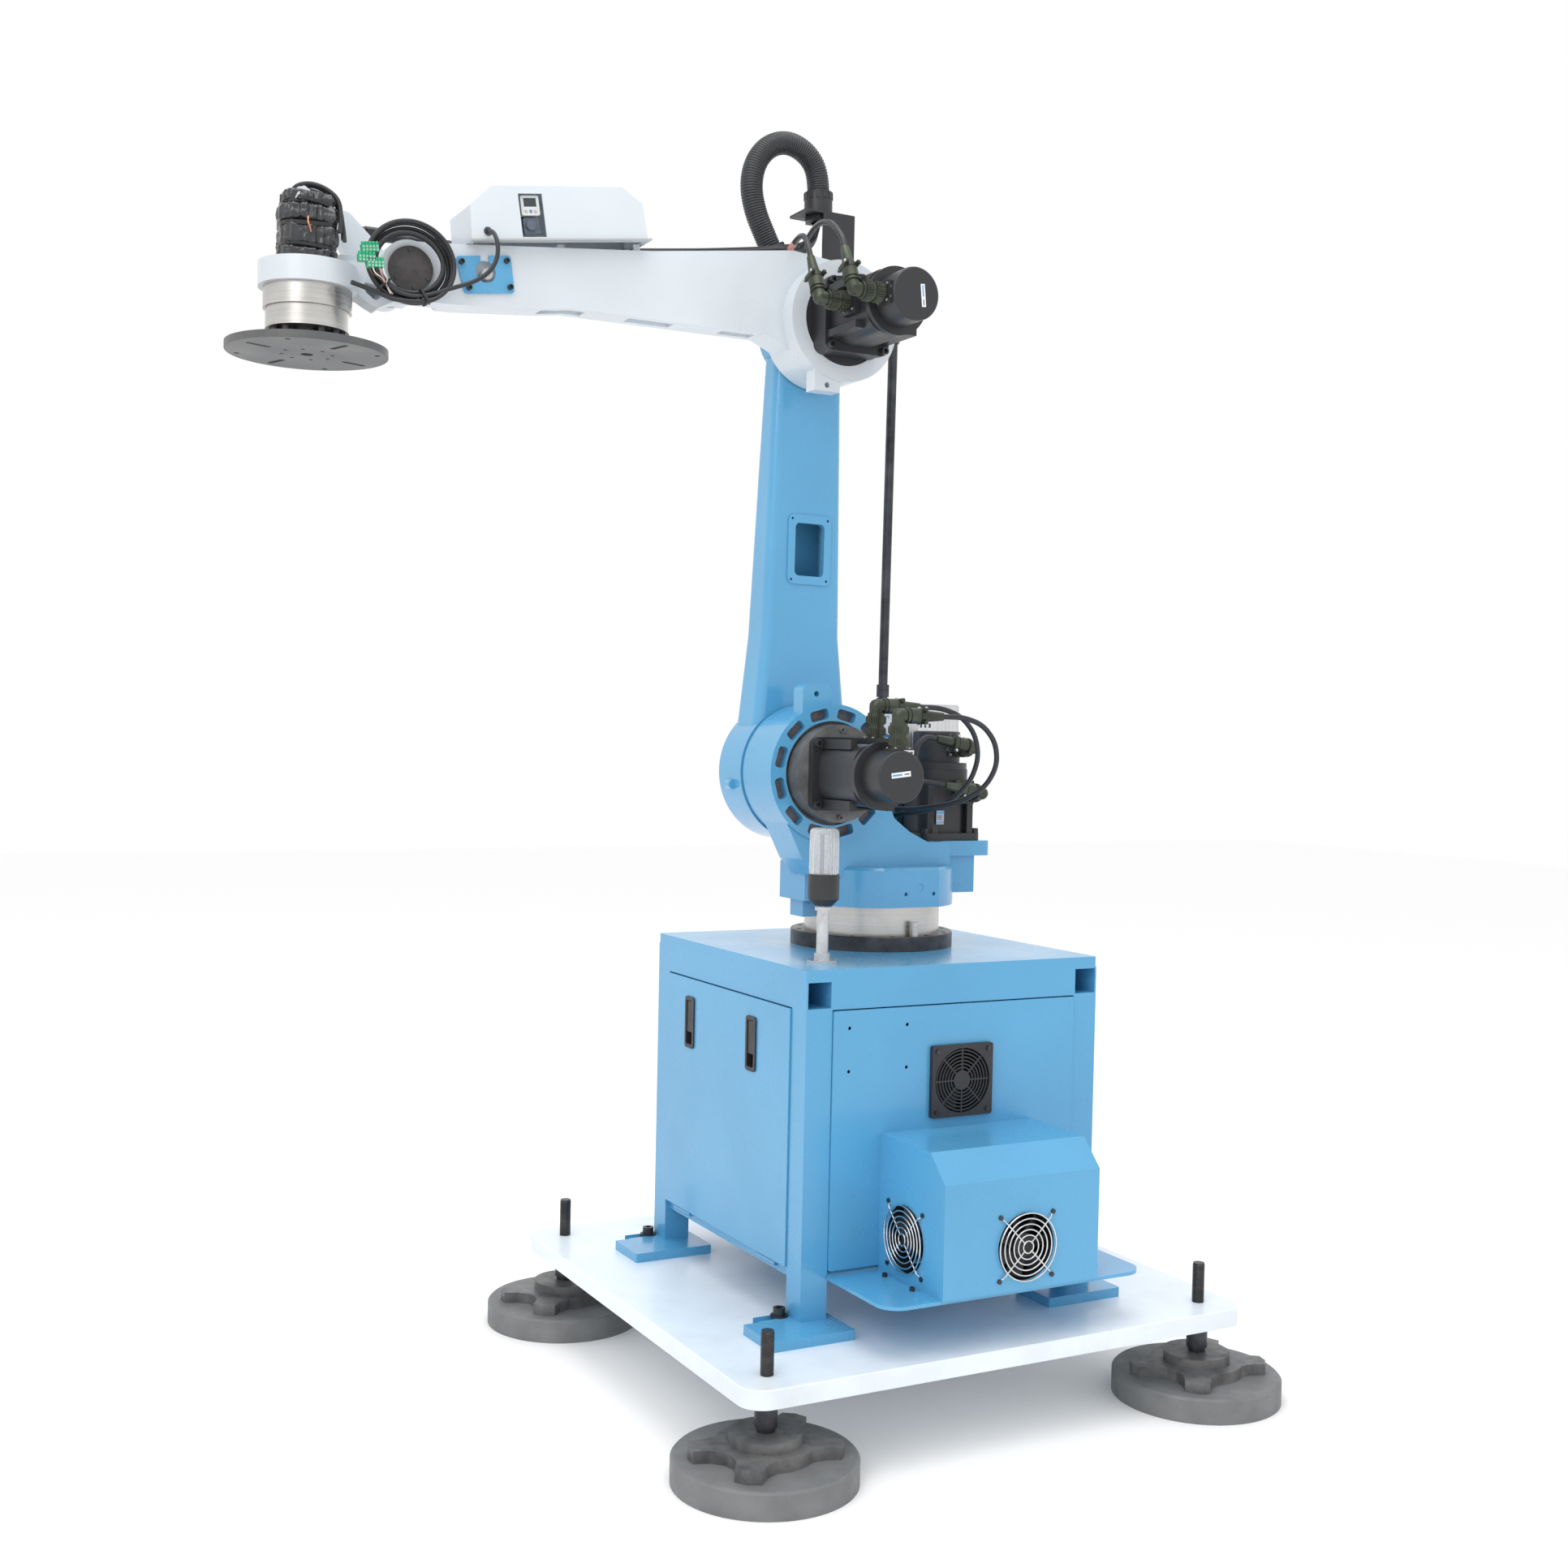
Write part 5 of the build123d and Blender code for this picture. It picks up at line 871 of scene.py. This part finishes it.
def add_threads():
    """Screw thread on the four levelling studs."""
    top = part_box("foot_studs")[1].z / MM - 2
    shape = Shape()
    for sx in (-1, 1):
        for sy in (-1, 1):
            x, y = STUD_CENTRE[0] + sx * STUD_REACH[0], STUD_CENTRE[1] + sy * STUD_REACH[1]
            for start, end in ((84.0, 134.0), (167.0, top)):
                count = int((end - start) / THREAD_PITCH * TURN_STEPS)
                rows = []
                for k in range(count + 1):
                    angle = math.tau * k / TURN_STEPS
                    z = start + (end - start) * k / count
                    way = Vector((math.cos(angle), math.sin(angle), 0))
                    row = []
                    for reach, rise in THREAD_PROFILE:
                        row.append(Vector((x, y, z + rise)) + way * (STUD_RADIUS + reach))
                    rows.append(row)
                shape.grid(rows)
    shape.make("stud_threads", "thread_steel", "base", 30)


X, Y, Z = Vector((1, 0, 0)), Vector((0, 1, 0)), Vector((0, 0, 1))
MOTORS = {
    "j1": (Vector((-138, 0, 966)), Y, Z, 24.0, (0.18, 0.98), "turret"),
    "j2": (Vector((150, 130, 1092)), Z, Y, -16.0, (0.1, 0.99), "turret"),
    "j3": (Vector((142.93, 130, 1901.97)), X, Y, 0.0, (-0.42, 0.90), "forearm"),
}
ELBOW_RISE = 56


def motor_sockets():
    """Sockets of the three joint motors: name, place, rise, cable direction, motor axis and body."""
    found = []
    for name, (origin, out, along, shift, side, body) in MOTORS.items():
        across = along.cross(out)
        sockets = (("power", 65.0, shift, 92.0), ("signal", 48.0, shift * 0.6, 177.0))
        for kind, reach, offset, level in sockets:
            at = origin + out * reach + across * offset + along * level
            turn = (along * side[0] + out.cross(along) * side[1]).normalized()
            found.append((f"{name}_{kind}", at, out, turn, along, body))
    return found


def knurl(angle):
    """Change of a knurled ring's radius at an angle."""
    return 0.55 if math.cos(angle * 30) > 0 else -0.55


def add_connector_details():
    """Knurled rings, collars, cable clamps and screws on the elbow connectors."""
    clamp_screw = [(0, 2.6), (4.4, 2.6), (5.0, 2.0), (5.0, 0.2)]
    socket_screw = [(-0.5, 2.3), (1.6, 2.3), (2.1, 1.6), (2.1, 0.2)]
    for name, at, rise, turn, along, body in motor_sockets():
        shape, bright = Shape(), Shape()
        for low, high in ((5.0, 17.5), (25.0, 37.5)):
            middle = (low + high) / 2
            ring = [(low, 15.2), (low + 0.8, 17.4), (middle, 17.4), (high - 0.8, 17.4), (high, 15.2)]
            shape.lathe(at, rise, ring, 120, knurl)
        elbow = at + rise * ELBOW_RISE
        for low, high, radius in ((12.0, 16.0, 14.6), (38.5, 47.0, 13.6)):
            shape.lathe(elbow, turn, [(low, 11.5), (low + 0.8, radius), (high - 0.8, radius), (high, 11.5)])
        cross = turn.cross(rise)
        clamp = elbow + turn * 45
        for side in (-1, 1):
            bar = clamp + rise * side * 11.0
            shape.box(bar, (34, 7, 6), (cross, turn, rise), 1.5)
            for end in (-1, 1):
                bright.lathe(bar + cross * end * 13.5, rise * side, clamp_screw, 18)
        for first in (-1, 1):
            for second in (-1, 1):
                spot = at + along * first * 13.5 + along.cross(rise) * second * 13.5
                bright.lathe(spot, rise, socket_screw, 16)
        shape.make(f"{name}_coupling", "olive_plated", body, 30)
        bright.make(f"{name}_screws", "steel_zinc", body, 30)


# ---- Labels ----
LABEL_FINISHES = ("label_blue", "label_dark", "label_yellow")
STRIP = [(-0.2, 0.0, 0.5, 0.34, 1), (0.3, 0.0, 0.26, 0.2, 2)]
NOTICE = [(-0.22, 0.0, 0.34, 0.62, 3), (0.24, 0.18, 0.3, 0.22, 2), (0.24, -0.18, 0.3, 0.16, 2)]
DATA = [
    (0, 0.36, 1.0, 0.2, 1), (-0.1, 0.12, 0.64, 0.05, 2), (-0.1, 0.0, 0.64, 0.05, 2),
    (-0.1, -0.12, 0.64, 0.05, 2), (0.0, -0.36, 1.0, 0.14, 1),
]
DOTS = [(-0.3, 0, 0.14, 0.4, 2), (0, 0, 0.14, 0.4, 2), (0.3, 0, 0.14, 0.4, 2)]
PAPER_THICK = 0.35
INK_THICK = 0.5


def add_label(name, centre, normal, up, size, body, bars, paper="label_white"):
    """Thin printed plate: bars are (x, y, width, height, material index) shares of its size."""
    normal, up = Vector(normal).normalized(), Vector(up).normalized()
    right = up.cross(normal)
    points, faces, kinds = [], [], []
    for x, y, wide, tall, kind in [(0, 0, 1, 1, 0), *bars]:
        thick = INK_THICK if kind else PAPER_THICK
        start = len(points)
        for sx, sy in ((-1, -1), (1, -1), (1, 1), (-1, 1)):
            spot = Vector(centre) + right * (x + sx * wide / 2) * size[0]
            spot += up * (y + sy * tall / 2) * size[1]
            points.extend((spot * MM, (spot + normal * thick) * MM))
        faces.append((start + 1, start + 3, start + 5, start + 7))
        for k in range(4):
            a, b = start + 2 * k, start + 2 * ((k + 1) % 4)
            faces.append((a, b, b + 1, a + 1))
        kinds.extend([kind] * 5)
    mesh = bpy.data.meshes.new(name)
    mesh.from_pydata(points, [], faces)
    piece = bpy.data.objects.new(name, mesh)
    bpy.context.scene.collection.objects.link(piece)
    give_material(piece, paper, *LABEL_FINISHES)
    for polygon, kind in zip(mesh.polygons, kinds):
        polygon.material_index = kind
    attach(piece, body)


def add_labels():
    """Blank stand-ins for the motors' plates and stickers."""
    add_label("j2_cap_label", (152, 337.2, 1096), Y, (0.12, 0, 1), (38, 9), "turret", STRIP)
    add_label("j2_notice", (131, 326.3, 1131), Y, Z, (20, 13), "turret", NOTICE)
    add_label("j3_cap_label", (130, 337.2, 1900), Y, (-1, 0, 0.1), (38, 8), "forearm", STRIP)
    add_label("j3_notice", (181, 326.3, 1902), Y, -X, (20, 13), "forearm", NOTICE)
    add_label("junction_label", (-156, -69.3, 1184), Y, Z, (34, 21), "turret", DOTS)
    add_label("j1_plate", (-107, 65.3, 1010), Y, Z, (17, 26), "turret", DATA, "label_grey")


# ---- Forearm bundle ----
def add_bundle():
    """More cables from the gland down to the forearm's top, and a heat-shrunk end."""
    for index, (dy, dz) in enumerate(((5, 5), (-6, 4), (1, 8))):
        route = [
            (134 + 2 * index, -24 + dy, 2106), (143, -18 + dy, 2070 + dz),
            (172 + 5 * index, -2 + dy, 2046 + dz), (220 + 6 * index, 12 + dy, 2037 + dz / 2),
            (300, 25 + dy, 2023), (388, 26 + dy, 2007.5), (462, 27 + dy, 1996), (528, 25 + dy, 1987),
        ]
        cable(f"bundle_cable_{index + 1}", route, 3.4, "cable_black", "forearm")
    shrink = [(231, 68, 2036.2), (228, 54, 2034.8), (224.5, 38, 2032.2)]
    cable("heat_shrink", shrink, 5.6, "shrink_pink", "forearm")


# ---- Finishes of the CAD pieces ----
J2_AXIS = (150, 1092)
REAR_PIVOT = (-80, 1190)
PLATE_SOCKET = (800, 1900)
PLATE_BOLTS = ((843.5, 1914), (767, 1926), (760, 1884), (830, 1874))
GAUGE_SCREEN = (732.6, 2022)


def off_axis(spot, axis):
    """Distance from a point to an (x, z) axis along Y."""
    return math.hypot(spot.x - axis[0], spot.z - axis[1])


def turret_finish(spot):
    """Paint, rough cast pockets round the J2 axis, or the dark rear pin."""
    if 81 < spot.y < 83 and 94 < off_axis(spot, J2_AXIS) < 119:
        return 1
    return 2 if spot.y < -95 else 0


def cable_plate_finish(spot):
    """Painted plate, its bolt heads, or its socket."""
    if off_axis(spot, PLATE_SOCKET) < 9.4:
        return 2
    return int(spot.y > 66.1 and any(off_axis(spot, bolt) < 5.6 for bolt in PLATE_BOLTS))


def gauge_finish(spot):
    """Pale case, dark screen, or the valve below."""
    if off_axis(spot, GAUGE_SCREEN) < 12.5 and 70 < spot.y < 75 and spot.z > 2016:
        return 1
    return 2 if spot.z < 2002 else 0


SPLIT_FINISHES = {
    "fan_guards": (("plastic_black", "chrome_wire"), lambda spot: int(spot.y > 340 or spot.x > 120)),
    "beacon_base": (("steel_zinc", "plastic_black"), lambda spot: int(spot.z > 868)),
    "turret_casting": (("paint_blue_cast", "pocket_rough", "steel_dark"), turret_finish),
    "turret_covers": (("box_silver", "paint_white_cast"), lambda spot: int(off_axis(spot, REAR_PIVOT) < 28)),
    "j4_output_ring": (("steel_bright", "steel_dark"), lambda spot: int(spot.z < 1783.5)),
    "j1_base_ring": (("steel_dark", "steel_bright"), lambda spot: int(spot.z > 797.5)),
    "cable_plate": (("paint_blue", "steel_dark", "plastic_grey"), cable_plate_finish),
    "cover_box": (("paint_white_box", "lip_grey"), lambda spot: int(spot.y > 80.5 or spot.y < -24.5)),
    "air_gauge": (("gauge_pale", "screen_dark", "valve_slate"), gauge_finish),
}
OWN_FINISHES = {
    "turret_casting": "paint_blue_cast", "lower_arm_casting": "paint_blue_cast",
    "forearm_casting": "paint_white_cast", "wrist_casting": "paint_white_cast",
    "bell_crank": "paint_white_cast", "gauge_button_middle": "button_blue",
    "wrist_bearing": "cover_black", "base_plate": "plate_white", "tool_disc": "disc_grey",
}


def dress_cad_nodes():
    """Every CAD node that still shows gets its own finish, or several by place."""
    for name, node in NODES.items():
        if name not in SPLIT_FINISHES:
            give_material(node, OWN_FINISHES.get(name, SLOT_OF[name]))
            continue
        finishes, choose = SPLIT_FINISHES[name]
        give_material(node, *finishes)
        for polygon in node.data.polygons:
            polygon.material_index = choose(polygon.center / MM)


add_camera()
add_terminal_strips()
add_coil()
add_conduit()
add_wrist_wrap()
dress_cad_nodes()
add_beacon()
add_threads()
add_connector_details()
add_labels()
add_bundle()
add_studio()
